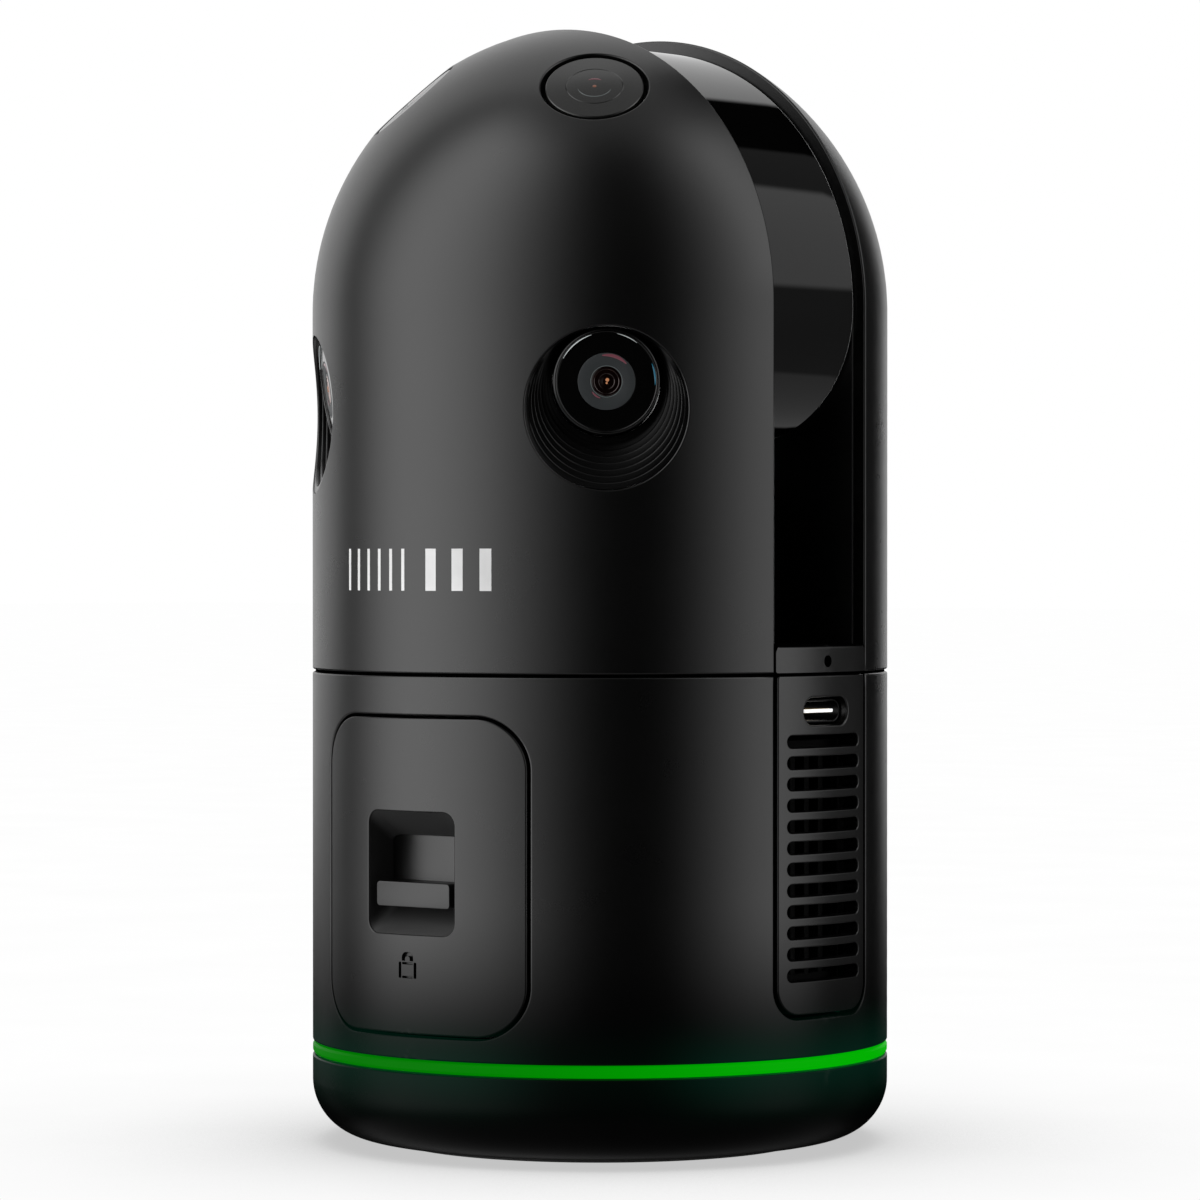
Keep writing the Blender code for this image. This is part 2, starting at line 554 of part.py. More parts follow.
def build_fan():
    """An axial fan that blows through a slotted heat sink and out of the vents."""
    low, high = FAN_Z - FAN_HALF, FAN_Z + FAN_HALF
    front = FAN_X + FAN_T
    frame = prism(
        "fan_frame", rounded_rectangle(FAN_HALF, low, high, FAN_CORNER, 3), FAN_X, front,
        "black_plastic", "X",
    )
    bore = arc((0, FAN_Z), FAN_R + FAN_TIP_GAP, 0, 360, 32)[:-1]
    inlet = arc((0, FAN_Z), FAN_R - FAN_INLET_STEP, 0, 360, 32)[:-1]
    cut(
        frame,
        prism("cut_fan_bore", bore, FAN_X + FAN_FACE, front + OVERSHOOT, along="X"),
        prism("cut_fan_inlet", inlet, FAN_X - OVERSHOOT, FAN_X + 2 * FAN_FACE, along="X"),
    )
    end, half = FAN_HALF - FAN_FACE, SPOKE_HALF
    spokes = {
        "join_spoke_up": (-half, half, FAN_Z - end, FAN_Z + end),
        "join_spoke_across": (-end, end, FAN_Z - half, FAN_Z + half),
    }
    for name, sides in spokes.items():
        boolean(frame, boxes(name, [(FAN_X, FAN_X + SPOKE_T, *sides)]), "UNION")

    outline = []
    step = 2 * math.pi / FAN_BLADES
    for i in range(FAN_BLADES):
        for radius, share in BLADE:
            angle = step * (i + share)
            outline.append((radius * math.cos(angle), FAN_Z + radius * math.sin(angle)))
    rotor = prism(
        "fan_rotor", outline, FAN_X + ROTOR_BACK, front - ROTOR_FRONT, "black_plastic", "X",
    )
    joint_empty("fan_axis", (FAN_X, 0, FAN_Z), [rotor])

    sink = boxes("heat_sink", [
        (SINK_X, SINK_END, -SINK_HALF, SINK_HALF, SINK_LOW, SINK_HIGH),
    ], "aluminium")
    pitch = 2 * SINK_HALF / (SINK_SLOTS + 0.6)
    slots = []
    for i in range(SINK_SLOTS):
        middle = (i - (SINK_SLOTS - 1) / 2) * pitch
        slots.append((
            SINK_X - OVERSHOOT, SINK_END + OVERSHOOT,
            middle - SINK_SLOT_HALF, middle + SINK_SLOT_HALF,
            SINK_LOW + SINK_FRAME, SINK_HIGH - SINK_FRAME,
        ))
    cut(sink, boxes("cut_sink", slots))


# ---------------------------------------------------------------- battery
def pack_outline(grow):
    """The battery pack's outline seen along Y, grown outwards by this much."""
    corner = PACK_CORNER + grow
    return rounded_rectangle(PACK_HALF + grow, PACK_LOW - grow, PACK_HIGH + grow, corner)


def build_bay():
    """The sleeve that guides the battery, and the spring contacts at its far end."""
    inner = pack_outline(BAY_PLAY)
    outer = pack_outline(BAY_PLAY + BAY_WALL)
    floor = BAY_REAR_Y - BAY_WALL
    bay = prism("battery_bay", outer, BAY_FRONT_Y, BAY_REAR_Y, "black_plastic", "Y")
    cut(bay, prism("cut_bay", inner, BAY_FRONT_Y - OVERSHOOT, floor, along="Y"))
    boxes("battery_connector", [(
        -CONTACT_HALF, CONTACT_HALF, PACK_REAR_Y + 0.5, floor - GAP, CONTACT_LOW, CONTACT_HIGH,
    )], "brass")


def build_battery():
    cover = disc(
        "battery_cover", BODY_R, DOOR_LOW - OVERSHOOT, DOOR_HIGH + OVERSHOOT, "satin_black",
    )
    keep = prism("keep_cover", door_outline(-DOOR_GAP), -CUT_FAR, COVER_BACK_Y, along="Y")
    boolean(cover, keep, "INTERSECT")

    pocket_y = LATCH_BACK_Y - LATCH_T - GAP
    back = COVER_BACK_Y + OVERSHOOT
    plate_half, stem_half = LATCH_PLATE_HALF + GAP, LATCH_STEM_HALF + GAP
    pocket = boxes("cut_latch_pocket", [(
        -plate_half, plate_half, pocket_y, back,
        LATCH_PLATE_LOW - GAP, LATCH_PLATE_HIGH + LATCH_TRAVEL + GAP,
    )])
    stem = boxes("cut_latch_stem", [(
        -stem_half, stem_half, pocket_y, back, LATCH_PLATE_HIGH, DOOR_HIGH + OVERSHOOT,
    )])
    cut(cover, pocket, stem, grip_cutter(pocket_y))

    outline = pack_outline(0)
    case = prism("battery_case", outline, PACK_FRONT_Y, PACK_REAR_Y, "black_plastic", "Y")
    inner = pack_outline(-PACK_WALL)
    rear = PACK_REAR_Y - PACK_WALL
    cut(case, prism("cut_case", inner, PACK_FRONT_Y - OVERSHOOT, rear, along="Y"))
    inset = PACK_WALL + CELL_GAP
    cells = rounded_rectangle(
        PACK_HALF - PACK_WALL - GAP, PACK_LOW + inset, PACK_HIGH - inset, CELL_CORNER,
    )
    cell = prism("battery_cells", cells, CELL_FRONT_Y, rear - GAP, "cell_wrap", "Y")

    latch = build_latch()
    joint_empty("latch_axis", (0, LATCH_BAR_Y, LATCH_BAR_LOW), [latch])
    joint_empty("battery_axis", (0, -BODY_R, (DOOR_LOW + DOOR_HIGH) / 2), [cover, case, cell])


def grip_cutter(inner_y):
    """The finger recess: its upper and lower walls slope in from the mouth to a narrower throat."""
    mouth = rounded_rectangle(GRIP_HALF, GRIP_LOW, GRIP_HIGH, GRIP_CORNER, 3)
    throat = rounded_rectangle(THROAT_HALF, THROAT_LOW, THROAT_HIGH, THROAT_CORNER, 3)
    levels = (
        (mouth, -BODY_R - OVERSHOOT), (mouth, -BODY_R + GRIP_LIP),
        (throat, inner_y), (throat, inner_y + OVERSHOOT),
    )
    bm = bmesh.new()
    rings = []
    for outline, y in levels:
        rings.append([bm.verts.new((x, y, z)) for x, z in outline])
    for ring, above in zip(rings, rings[1:]):
        for i in range(len(mouth)):
            j = (i + 1) % len(mouth)
            bm.faces.new((ring[i], ring[j], above[j], above[i]))
    bm.faces.new(rings[0])
    bm.faces.new(rings[-1])
    return add_object("cut_grip", bm)


def build_latch():
    """One slider: a plate behind the recess, a finger bar in it, and a bolt that rises into the deck."""
    front = LATCH_BACK_Y - LATCH_T
    latch = boxes("battery_latch", [(
        -LATCH_PLATE_HALF, LATCH_PLATE_HALF, front, LATCH_BACK_Y, LATCH_PLATE_LOW, LATCH_PLATE_HIGH,
    )], "satin_black")
    bolt = boxes("join_bolt", [(
        -LATCH_STEM_HALF, LATCH_STEM_HALF, front, LATCH_BACK_Y, LATCH_PLATE_HIGH - 1, LATCH_TOP,
    )])
    outline = rounded_rectangle(
        LATCH_BAR_HALF, LATCH_BAR_LOW, LATCH_BAR_HIGH, LATCH_BAR_CORNER, 3,
    )
    bar = prism("join_bar", outline, LATCH_BAR_Y, front + LATCH_OVERLAP, along="Y")
    boolean(latch, bolt, "UNION")
    boolean(latch, bar, "UNION")
    return latch


# ---------------------------------------------------------------- pan bearing and drive
def involute_gear(teeth, first_tooth, centre_y=0.0):
    """Gear outline about (0, centre_y). first_tooth is the direction of one tooth's middle, in radians."""
    pitch_r = GEAR_MODULE * teeth / 2
    base_r = pitch_r * math.cos(PRESSURE_ANGLE)
    root_r, tip_r = pitch_r - DEDENDUM, pitch_r + ADDENDUM

    def roll(radius):
        """Angle between the involute's start and this radius."""
        ratio = max(1.0, radius / base_r)
        return math.sqrt(ratio * ratio - 1) - math.acos(1 / ratio)

    half = (math.pi * GEAR_MODULE / 2 - BACKLASH) / (2 * pitch_r)
    outline = []
    for tooth in range(teeth):
        middle = first_tooth + 2 * math.pi * tooth / teeth
        flank = sorted({root_r, max(root_r, base_r), pitch_r, tip_r})
        angles = [half + roll(pitch_r) - roll(r) for r in flank]
        side = [(r, middle - a) for r, a in zip(flank, angles)]
        side += [(r, middle + a) for r, a in reversed(list(zip(flank, angles)))]
        outline += [(r * math.cos(turn), centre_y + r * math.sin(turn)) for r, turn in side]
    return outline


def build_pan_drive():
    """Fixed to the base: deck, inner race, ring gear, lower half of the slip ring."""
    deck = revolve("base_deck", [
        (SPIGOT_IN, DECK_Z), (DECK_R, DECK_Z), (DECK_R, DECK_TOP), (SPIGOT_OUT, DECK_TOP),
        (SPIGOT_OUT, SPIGOT_TOP), (SPIGOT_IN, SPIGOT_TOP),
    ], "aluminium")
    half = LATCH_STEM_HALF + 0.6
    front = LATCH_BACK_Y - LATCH_T - 0.5
    low, high = DECK_Z - OVERSHOOT, DECK_TOP + OVERSHOOT
    port_half = PORT_W / 2 + PORT_WALL + 0.5
    cut(
        deck, boxes("cut_keeper", [(-half, half, front, LATCH_BACK_Y + 0.5, low, high)]),
        boxes("cut_port_notch", [
            (PORT_BACK - 0.5, DECK_R + OVERSHOOT, -port_half, port_half, low, high),
        ]),
    )

    low, high = DECK_TOP + GAP, SPIGOT_TOP
    bore = SPIGOT_OUT + RACE_GAP
    disc("bearing_inner_race", INNER_RACE_R, low, high, "steel", 32, bore=bore)
    outer = disc(
        "bearing_outer_race", HUB_IN - RACE_GAP, low + RACE_LIFT, high + RACE_GAP, "steel", 32,
        bore=OUTER_RACE_BORE,
    )
    teeth = involute_gear(GEAR_TEETH, math.pi / 2)
    gear = prism("pan_ring_gear", teeth, GEAR_Z, GEAR_TOP, "brass")
    low, high = GEAR_Z - OVERSHOOT, GEAR_TOP + OVERSHOOT
    cut(gear, disc("cut_gear_bore", GEAR_BORE, low, high, sides=32))
    disc("slip_ring_stator", SLIP_RING_R, DECK_Z + 0.2, SEAM_Z - 0.9, "brass", SMALL)
    rotor = disc("slip_ring_rotor", SLIP_RING_R, SEAM_Z - 0.4, SPIGOT_TOP + GAP, "brass", SMALL)
    return [outer, rotor]


def build_head_deck():
    """Carries the head: a plate with the bearing's hub below it and the slot's floor across it."""
    deck = revolve("head_deck", [
        (0, SPIGOT_TOP + 0.6), (HUB_IN, SPIGOT_TOP + 0.6), (HUB_IN, HUB_BOTTOM), (HUB_OUT, HUB_BOTTOM),
        (HUB_OUT, HEAD_DECK_Z), (HEAD_DECK_R, HEAD_DECK_Z), (HEAD_DECK_R, HEAD_DECK_TOP),
        (0, HEAD_DECK_TOP + 0.1),
    ], "black_plastic")
    end, plate_z = STRIP_END, HEAD_DECK_TOP - 0.2
    floor = prism("join_floor", [
        (-BODY_R, HEAD_BOTTOM), (-end, HEAD_BOTTOM), (-end, plate_z), (end, plate_z),
        (end, HEAD_BOTTOM), (BODY_R, HEAD_BOTTOM), (BODY_R, SLOT_FLOOR), (-BODY_R, SLOT_FLOOR),
    ], STRIP_GAP - SLOT_HALF, SLOT_HALF - STRIP_GAP, along="Y")
    boolean(deck, floor, "UNION")
    keep = disc("keep_deck", BODY_R - 0.02, HUB_BOTTOM - OVERSHOOT, SLOT_FLOOR + OVERSHOOT)
    boolean(deck, keep, "INTERSECT")
    axis = [(0, PAN_CENTRES)]
    shaft = cylinders(
        "cut_pinion_shaft", axis, PINION_HOLE_R, HEAD_DECK_Z - OVERSHOOT, HEAD_DECK_TOP + OVERSHOOT,
    )
    index = disc("cut_index", INDEX_R, 0, INDEX_DEPTH + OVERSHOOT, sides=12)
    index_z = (HEAD_BOTTOM + SLOT_FLOOR) / 2 - INDEX_DROP
    aim(index, (BODY_R - INDEX_DEPTH, 0, index_z), (1, 0, 0))
    cut(deck, index, shaft)

    toward_gear = -math.pi / 2
    teeth = involute_gear(PINION_TEETH, toward_gear + math.pi / PINION_TEETH, PAN_CENTRES)
    pinion = prism("pan_pinion", teeth, GEAR_Z + GAP, GEAR_TOP - 0.1, "steel")
    stem = cylinders(
        "join_pinion_stem", axis, PINION_STEM_R, GEAR_Z + GEAR_MODULE, HEAD_DECK_TOP + 0.2,
    )
    boolean(pinion, stem, "UNION")
    joint_empty("pan_pinion_axis", (0, PAN_CENTRES, GEAR_Z), [pinion])
    low = HEAD_DECK_TOP + 0.6
    motor = disc("pan_motor", PAN_MOTOR_R, low, low + PAN_MOTOR_H, "steel", SMALL)
    motor.location = Vector((0, PAN_CENTRES, 0)) * MM
    return [deck, motor]


# ---------------------------------------------------------------- head shells and window
def half_space(name, sign, y0, y1):
    """A block on the +Y or -Y side that keeps one tower."""
    low, high = sorted((sign * y0, sign * y1))
    return boxes(name, [
        (-HALF_SPACE_R, HALF_SPACE_R, low, high, HALF_SPACE_LOW, HALF_SPACE_HIGH),
    ])


def build_towers():
    made = []
    shell_profile = [(HEAD_BORE, HEAD_BOTTOM), (BODY_R, HEAD_BOTTOM)]
    shell_profile += dome_arc(BODY_R) + dome_arc(HEAD_BORE)[::-1]
    inside = HEAD_BORE - GAP
    for name, sign in (("front", -1), ("rear", 1)):
        shell = revolve(f"{name}_shell", shell_profile, "satin_black")
        tower = half_space(f"keep_{name}_shell", sign, SLOT_HALF, HALF_SPACE_R)
        boolean(shell, tower, "INTERSECT")
        cheek = revolve(f"{name}_cheek", dome_profile(inside, HEAD_DECK_TOP + GAP), "black_plastic")
        near = SLOT_HALF + CHEEK_GAP
        slab = half_space(f"keep_{name}_cheek", sign, near, near + CHEEK_T)
        boolean(cheek, slab, "INTERSECT")
        made += [shell, cheek]

    bearing = disc("cut_bearing", CHEEK_BEARING_R, -2 * SLOT_HALF, -SLOT_HALF / 2, sides=SMALL)
    aperture = disc("cut_aperture", CHEEK_APERTURE_R, SLOT_HALF / 2, 2 * SLOT_HALF, sides=32)
    cut(bpy.data.objects["front_cheek"], along_y(bearing, DOME_Z))
    cut(bpy.data.objects["rear_cheek"], along_y(aperture, DOME_Z))
    front = bpy.data.objects["front_shell"]
    for side, sign in (("left", -1), ("right", 1)):
        outward = side_direction(sign)
        hole = disc(f"cut_scoop_hole_{side}", SCOOP_R + 0.15, CUT_NEAR, CUT_FAR, sides=24)
        aim(hole, (0, 0, SCOOP_Z), outward)
        window = disc(f"cut_sky_hole_{side}", SKY_HOLE_R, CUT_NEAR, CUT_FAR, sides=24)
        aim(window, (0, 0, DOME_Z), sky_direction(sign))
        cut(front, hole, window)
    return made


def window_path(inset):
    """The window's curve, seen along Y: small corner, large dome, small corner."""
    corner, dome = GLASS_CORNER_R - inset, GLASS_R - inset
    across = GLASS_R - GLASS_CORNER_R
    path = arc((across, DOME_Z), corner, -90, 0, 9)
    path += arc((0, DOME_Z), dome, 0, 180, 36)[1:]
    path += arc((-across, DOME_Z), corner, 180, 270, 9)[1:]
    return path


def build_window():
    outline = window_path(0) + window_path(GLASS_T)[::-1]
    glass = prism("window_glass", outline, -GLASS_HALF, GLASS_HALF, "dark_glass", "Y")
    half, shoulder = PILLAR_HALF, SILL_Z - PILLAR_SHOULDER
    top = GLASS_R - GLASS_CORNER_R - GAP
    right = [
        (half, SLOT_FLOOR + GAP), (half, shoulder), (top, SILL_Z), (top, SILL_Z + GLASS_T),
    ]
    left = [(-x, z) for x, z in reversed(right)]
    pillar = prism("centre_pillar", right + left, -GLASS_HALF, GLASS_HALF, "black_plastic", "Y")
    cut(pillar, boxes("cut_pillar", [(
        PILLAR_WALL - half, half - PILLAR_WALL, -PILLAR_BORE_HALF, PILLAR_BORE_HALF,
        SLOT_FLOOR - OVERSHOOT, shoulder - OVERSHOOT,
    )]))
    return [glass, pillar]


# ---------------------------------------------------------------- scanning mirror and laser
def build_mirror():
    """The spinning part: a drum cut at 45 degrees, its mirror, the shaft and the encoder disc."""
    drum = disc("mirror_holder", MIRROR_R, HOLDER_START_Y, HOLDER_END_Y, "aluminium", 32)
    tilt = Matrix.Rotation(math.radians(-45), 4, "X")
    away = Matrix.Translation(Vector((0, 0, DOME_Z)) * MM) @ tilt
    wide = 2 * SLOT_HALF
    slab = MIRROR_T + MIRROR_SEAT
    block = boxes("cut_mirror_side", [(-wide, wide, -wide, wide, -slab, wide + SLOT_HALF)])
    block.matrix_world = away
    cut(drum, block)
    shaft = disc("join_mirror_shaft", SHAFT_R, SHAFT_START_Y, SHAFT_END_Y, sides=16)
    boolean(drum, shaft, "UNION")

    mirror = disc("mirror_facet", MIRROR_R, -wide, wide, "mirror_silver", 32)
    keep = boxes("keep_mirror", [(-wide, wide, -wide, wide, -MIRROR_T, 0)])
    keep.matrix_world = away
    boolean(mirror, keep, "INTERSECT")
    encoder = disc(
        "encoder_disc", ENCODER_R, ENCODER_Y, ENCODER_Y + ENCODER_T, "dark_glass", 32,
        bore=SHAFT_R + 0.2,
    )
    bearing = disc(
        "mirror_bearing", BEARING_R, BEARING_Y, BEARING_END_Y, "steel", SMALL, bore=SHAFT_R + 0.3,
    )
    motor = disc(
        "mirror_motor", MOTOR_R, MOTOR_END_Y, MOTOR_Y, "steel", 32, bore=SHAFT_R + 0.6,
    )
    for obj in (drum, shaft, mirror, encoder, bearing, motor):
        along_y(obj, DOME_Z)
    joint_empty("mirror_axis", (0, 0, DOME_Z), [drum, mirror, encoder])
    return [bearing, motor]


def build_laser():
    """The range finder in the rear tower, looking at the mirror along the slot's width."""
    near = SLOT_HALF + CHEEK_GAP + CHEEK_T + LASER_GAP
    module = along_y(disc("laser_module", LASER_R, near, LASER_END_Y, "aluminium", 32), DOME_Z)
    back = near - RECEIVER_GAP
    lens_profile = [(0, back), (RECEIVER_R, back)]
    for share in (1, 2 / 3, 1 / 3, 0):
        rise = RECEIVER_EDGE + RECEIVER_BULGE * (1 - share ** 2)
        lens_profile.append((RECEIVER_R * share, back - rise))
    lens = along_y(revolve("receiver_lens", lens_profile, "lens_glass", 32), DOME_Z)
    board = boxes("main_board", [(
        -MAIN_BOARD_HALF, MAIN_BOARD_HALF, MAIN_BOARD_Y, MAIN_BOARD_Y + MAIN_BOARD_T,
        MAIN_BOARD_LOW, MAIN_BOARD_HIGH,
    )], "circuit_board")
    return [module, lens, board]


# ---------------------------------------------------------------- cameras
def side_direction(sign):
    return Vector((sign * math.sin(SIDE_ANGLE), -math.cos(SIDE_ANGLE), 0))


def sky_direction(sign):
    level = math.cos(SKY_LIFT)
    return Vector((sign * level * math.sin(SKY_ANGLE), -level * math.cos(SKY_ANGLE), math.sin(SKY_LIFT)))


def lens_axis(sign):
    outward = side_direction(sign) * math.cos(LENS_TILT)
    return Vector((outward.x, outward.y, -math.sin(LENS_TILT)))


def build_side_camera(side, sign):
    """A ribbed scoop, set off centre below the lens, round a barrel with a flat cover glass."""
    outward = side_direction(sign)
    centre = outward * LENS_OUT + Vector((0, 0, LENS_Z))
    lift = LENS_Z - SCOOP_Z
    scoop = disc(
        f"camera_scoop_{side}", SCOOP_R - 0.15, SCOOP_BACK, CUT_FAR, "black_plastic", 24,
    )
    aim(scoop, (0, 0, SCOOP_Z), outward)
    reach = 1.5 * SCOOP_R
    face = disc(f"keep_scoop_{side}", BODY_R - 0.05, SCOOP_Z - reach, SCOOP_Z + reach)
    boolean(scoop, face, "INTERSECT")
    rim = SCOOP_R - SCOOP_RIM
    cone = loft(f"cut_scoop_{side}", [
        (0, lift - 0.1, BARREL_R + 0.35, SCOOP_FLOOR_OUT), (0, 0, rim, SCOOP_RIM_OUT),
        (0, 0, rim, CUT_FAR),
    ])
    aim(cone, (0, 0, SCOOP_Z), outward)
    bore = disc(f"cut_barrel_{side}", BARREL_R + BARREL_GAP, -1.5 * BARREL_LEN, BARREL_R, sides=24)
    aim(bore, centre, lens_axis(sign))
    cut(scoop, cone, bore)

    seat = LENS_GLASS_R + 0.2
    barrel = revolve(f"camera_barrel_{side}", [
        (0, -BARREL_LEN), (BARREL_STEP_R, -BARREL_LEN), (BARREL_STEP_R, -BARREL_STEP),
        (BARREL_R, -BARREL_STEP), (BARREL_R, 0), (seat, 0), (seat, -LENS_SEAT),
        (LENS_APERTURE_R, -LENS_SEAT), (LENS_CONE_R, -LENS_CONE), (0, -LENS_CONE),
    ], "black_plastic", 24)
    aim(barrel, centre, lens_axis(sign))
    glass = disc(f"camera_glass_{side}", LENS_GLASS_R, -1.1, -0.15, "lens_glass", 24)
    aim(glass, centre, lens_axis(sign))
    return [scoop, barrel, glass]


def build_sky_camera(side, sign):
    """A flat window in the dome with a short barrel behind it."""
    window = disc(f"sky_window_{side}", SKY_GLASS_R, SKY_OUT - 1.0, SKY_OUT, "lens_glass", 24)
    flange, face, cone = SKY_OUT - 2.6, SKY_OUT - 1.3, SKY_OUT - 4.0
    barrel = revolve(f"sky_barrel_{side}", [
        (0, SKY_BARREL_BACK), (SKY_BARREL_R, SKY_BARREL_BACK), (SKY_BARREL_R, flange),
        (SKY_GLASS_R, flange), (SKY_GLASS_R, face), (SKY_APERTURE_R, face), (SKY_CONE_R, cone),
        (0, cone),
    ], "black_plastic", SMALL)
    for obj in (window, barrel):
        aim(obj, (0, 0, DOME_Z), sky_direction(sign))
    return [window, barrel]


def build_scanner():
    clear_scene()
    build_foot()
    build_housing()
    build_port()
    build_button()
    build_fan()
    build_bay()
    build_battery()
    head = build_pan_drive() + build_head_deck() + build_towers()
    head += build_window() + build_mirror() + build_laser()
    for side, sign in (("left", -1), ("right", 1)):
        head += build_side_camera(side, sign) + build_sky_camera(side, sign)
    joint_empty("head_pan_axis", (0, 0, SEAM_Z), head)


build_scanner()
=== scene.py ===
"""Looks of the terrestrial laser scanner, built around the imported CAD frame.

Lengths in this file are millimetres and MM turns one into metres. Directions round the pan axis are
angles from -Y towards +X, so the battery faces angle 0 and the vents with the port face angle 90.
Every outer shell is a Sheet: a flat outline with holes, wrapped on its cylinder and dome, with a real
rounded edge at each rim and a real wall behind it.
"""
import json
import math

import bmesh
import bpy
from mathutils import Matrix, Vector
from mathutils.geometry import delaunay_2d_cdt


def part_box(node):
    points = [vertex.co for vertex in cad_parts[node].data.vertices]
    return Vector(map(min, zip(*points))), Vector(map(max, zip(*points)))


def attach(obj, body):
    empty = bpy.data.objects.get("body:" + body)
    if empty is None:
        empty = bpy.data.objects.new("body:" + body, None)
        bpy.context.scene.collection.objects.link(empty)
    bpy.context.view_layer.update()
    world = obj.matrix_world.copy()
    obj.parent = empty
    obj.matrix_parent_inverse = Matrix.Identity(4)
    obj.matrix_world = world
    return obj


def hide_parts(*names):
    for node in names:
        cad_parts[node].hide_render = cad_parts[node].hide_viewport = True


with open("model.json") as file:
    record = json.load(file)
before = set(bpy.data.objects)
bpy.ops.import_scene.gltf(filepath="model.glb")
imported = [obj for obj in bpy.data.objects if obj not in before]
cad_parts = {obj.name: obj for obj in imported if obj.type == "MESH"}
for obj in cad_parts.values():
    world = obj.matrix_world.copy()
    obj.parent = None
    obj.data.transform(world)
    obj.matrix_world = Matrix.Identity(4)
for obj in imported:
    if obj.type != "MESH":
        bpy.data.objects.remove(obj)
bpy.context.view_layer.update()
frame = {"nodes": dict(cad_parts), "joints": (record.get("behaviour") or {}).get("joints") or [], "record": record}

MM = 0.001
SMALL = 0.01  # step of a numeric slope
RECORD = frame["record"]
JOINTS = {joint["name"]: joint for joint in frame["joints"]}
BODY_OF = {node: body for body, nodes in RECORD["behaviour"]["bodies"].items() for node in nodes}
SLOT_OF = {part["node"]: part["material_slot"] for part in RECORD["subparts"]}


def span(node):
    """Lowest and highest corner of a CAD node, in millimetres."""
    low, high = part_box(node)
    return low / MM, high / MM


# ---------------------------------------------------------------- sizes taken from the frame
HOUSING_LOW, HOUSING_HIGH = span("base_housing")
SHELL_LOW, SHELL_HIGH = span("front_shell")
BODY_R = HOUSING_HIGH.x
SLOT_HALF = -SHELL_HIGH.y
DOME_Z = JOINTS["mirror_spin"]["pos_m"][2] / MM
SEAM_MIDDLE, SEAM_SHOWN = (HOUSING_HIGH.z + SHELL_LOW.z) / 2, 0.36
SEAM_LOW, SEAM_HIGH = SEAM_MIDDLE - SEAM_SHOWN / 2, SEAM_MIDDLE + SEAM_SHOWN / 2
COVER_LOW, COVER_HIGH = span("battery_cover")
PANEL_LOW, PANEL_HIGH = span("vent_panel")
GLASS_LOW, GLASS_HIGH = span("window_glass")
RING_LOW, RING_HIGH = span("light_ring")
FOOT_LOW, FOOT_HIGH = span("bottom_cover")
DECK_HIGH = span("head_deck")[1]
PORT_LOW, PORT_HIGH = span("usb_port")

# ---------------------------------------------------------------- sizes the boxes can't give
BASE_WALL, HEAD_WALL = 2.4, 2.0
DOOR_GAP, DOOR_CORNER = 0.35, 7.2
PANEL_GAP, PANEL_CORNER, PANEL_WALL = 0.6, 3.75, 2.2
GRIP_HALF, GRIP_LOW, GRIP_HIGH, GRIP_CORNER = 7.65, 30.7, 47.1, 1.8
THROAT_HALF, THROAT_LOW, THROAT_HIGH, THROAT_Y = 7.4, 34.0, 43.7, -34.9
VENT_HALF, VENT_H, VENT_PITCH, VENT_LOW = 7.8, 1.7, 2.84, 24.3
PORT_VENTS, BUTTON_VENTS = 12, 9
PORT_Z, PORT_W, PORT_H, PORT_GAP = 60.4, 8.34, 2.56, 0.6
BUTTON_Z, BUTTON_R = 56.0, 4.0
FOOT_FILLET, EDGE, HOLE_EDGE = 8.0, 0.28, 0.22
FAN_Z, INDEX_Z = 40.0, 67.1
SIDE_ANGLE, SKY_ANGLE, SKY_LIFT = math.radians(41.3), math.radians(38.4), math.radians(48)
SCOOP_Z, SCOOP_R = 100.7, 10.75
LENS_Z, LENS_OUT, LENS_TILT = 104.2, 38.2, math.radians(8)
BARREL_R, LENS_R = 7.1, 6.6
SKY_HOLE_R, SKY_R, SKY_OUT = 7.3, 6.65, 39.3
CAMERA_ANGLE = math.radians(40)


# ---------------------------------------------------------------- materials
class Nodes:
    """A short way to add and join shader nodes."""

    def __init__(self, tree):
        self.tree = tree
        self.tree.nodes.clear()

    def add(self, kind, links=None, **settings):
        node = self.tree.nodes.new("ShaderNode" + kind)
        for name, value in settings.items():
            setattr(node, name, value)
        for socket, value in (links or {}).items():
            target = node.inputs[socket]
            if isinstance(value, bpy.types.NodeSocket):
                self.tree.links.new(value, target)
            else:
                target.default_value = value
        return node

    def math(self, operation, first, second=0.0, third=0.0):
        return self.add("Math", {0: first, 1: second, 2: third}, operation=operation).outputs[0]

    def ramp(self, value, low, high, start=0.0, end=1.0, smooth=True):
        kind = "SMOOTHSTEP" if smooth else "LINEAR"
        links = {"Value": value, "From Min": low, "From Max": high, "To Min": start, "To Max": end}
        return self.add("MapRange", links, interpolation_type=kind).outputs[0]

    def mix(self, factor, first, second):
        links = {0: factor, 6: first, 7: second}
        return self.add("Mix", links, data_type="RGBA").outputs[2]

    def part(self, vector, axis):
        return self.add("SeparateXYZ", {0: vector}).outputs[axis]

    def noise(self, vector, scale, detail=2.0, roughness=0.5):
        links = {"Vector": vector, "Scale": scale, "Detail": detail, "Roughness": roughness}
        return self.add("TexNoise", links).outputs["Fac"]


def rgba(colour):
    return (*colour, 1.0) if isinstance(colour, (tuple, list)) else (colour, colour, colour, 1.0)


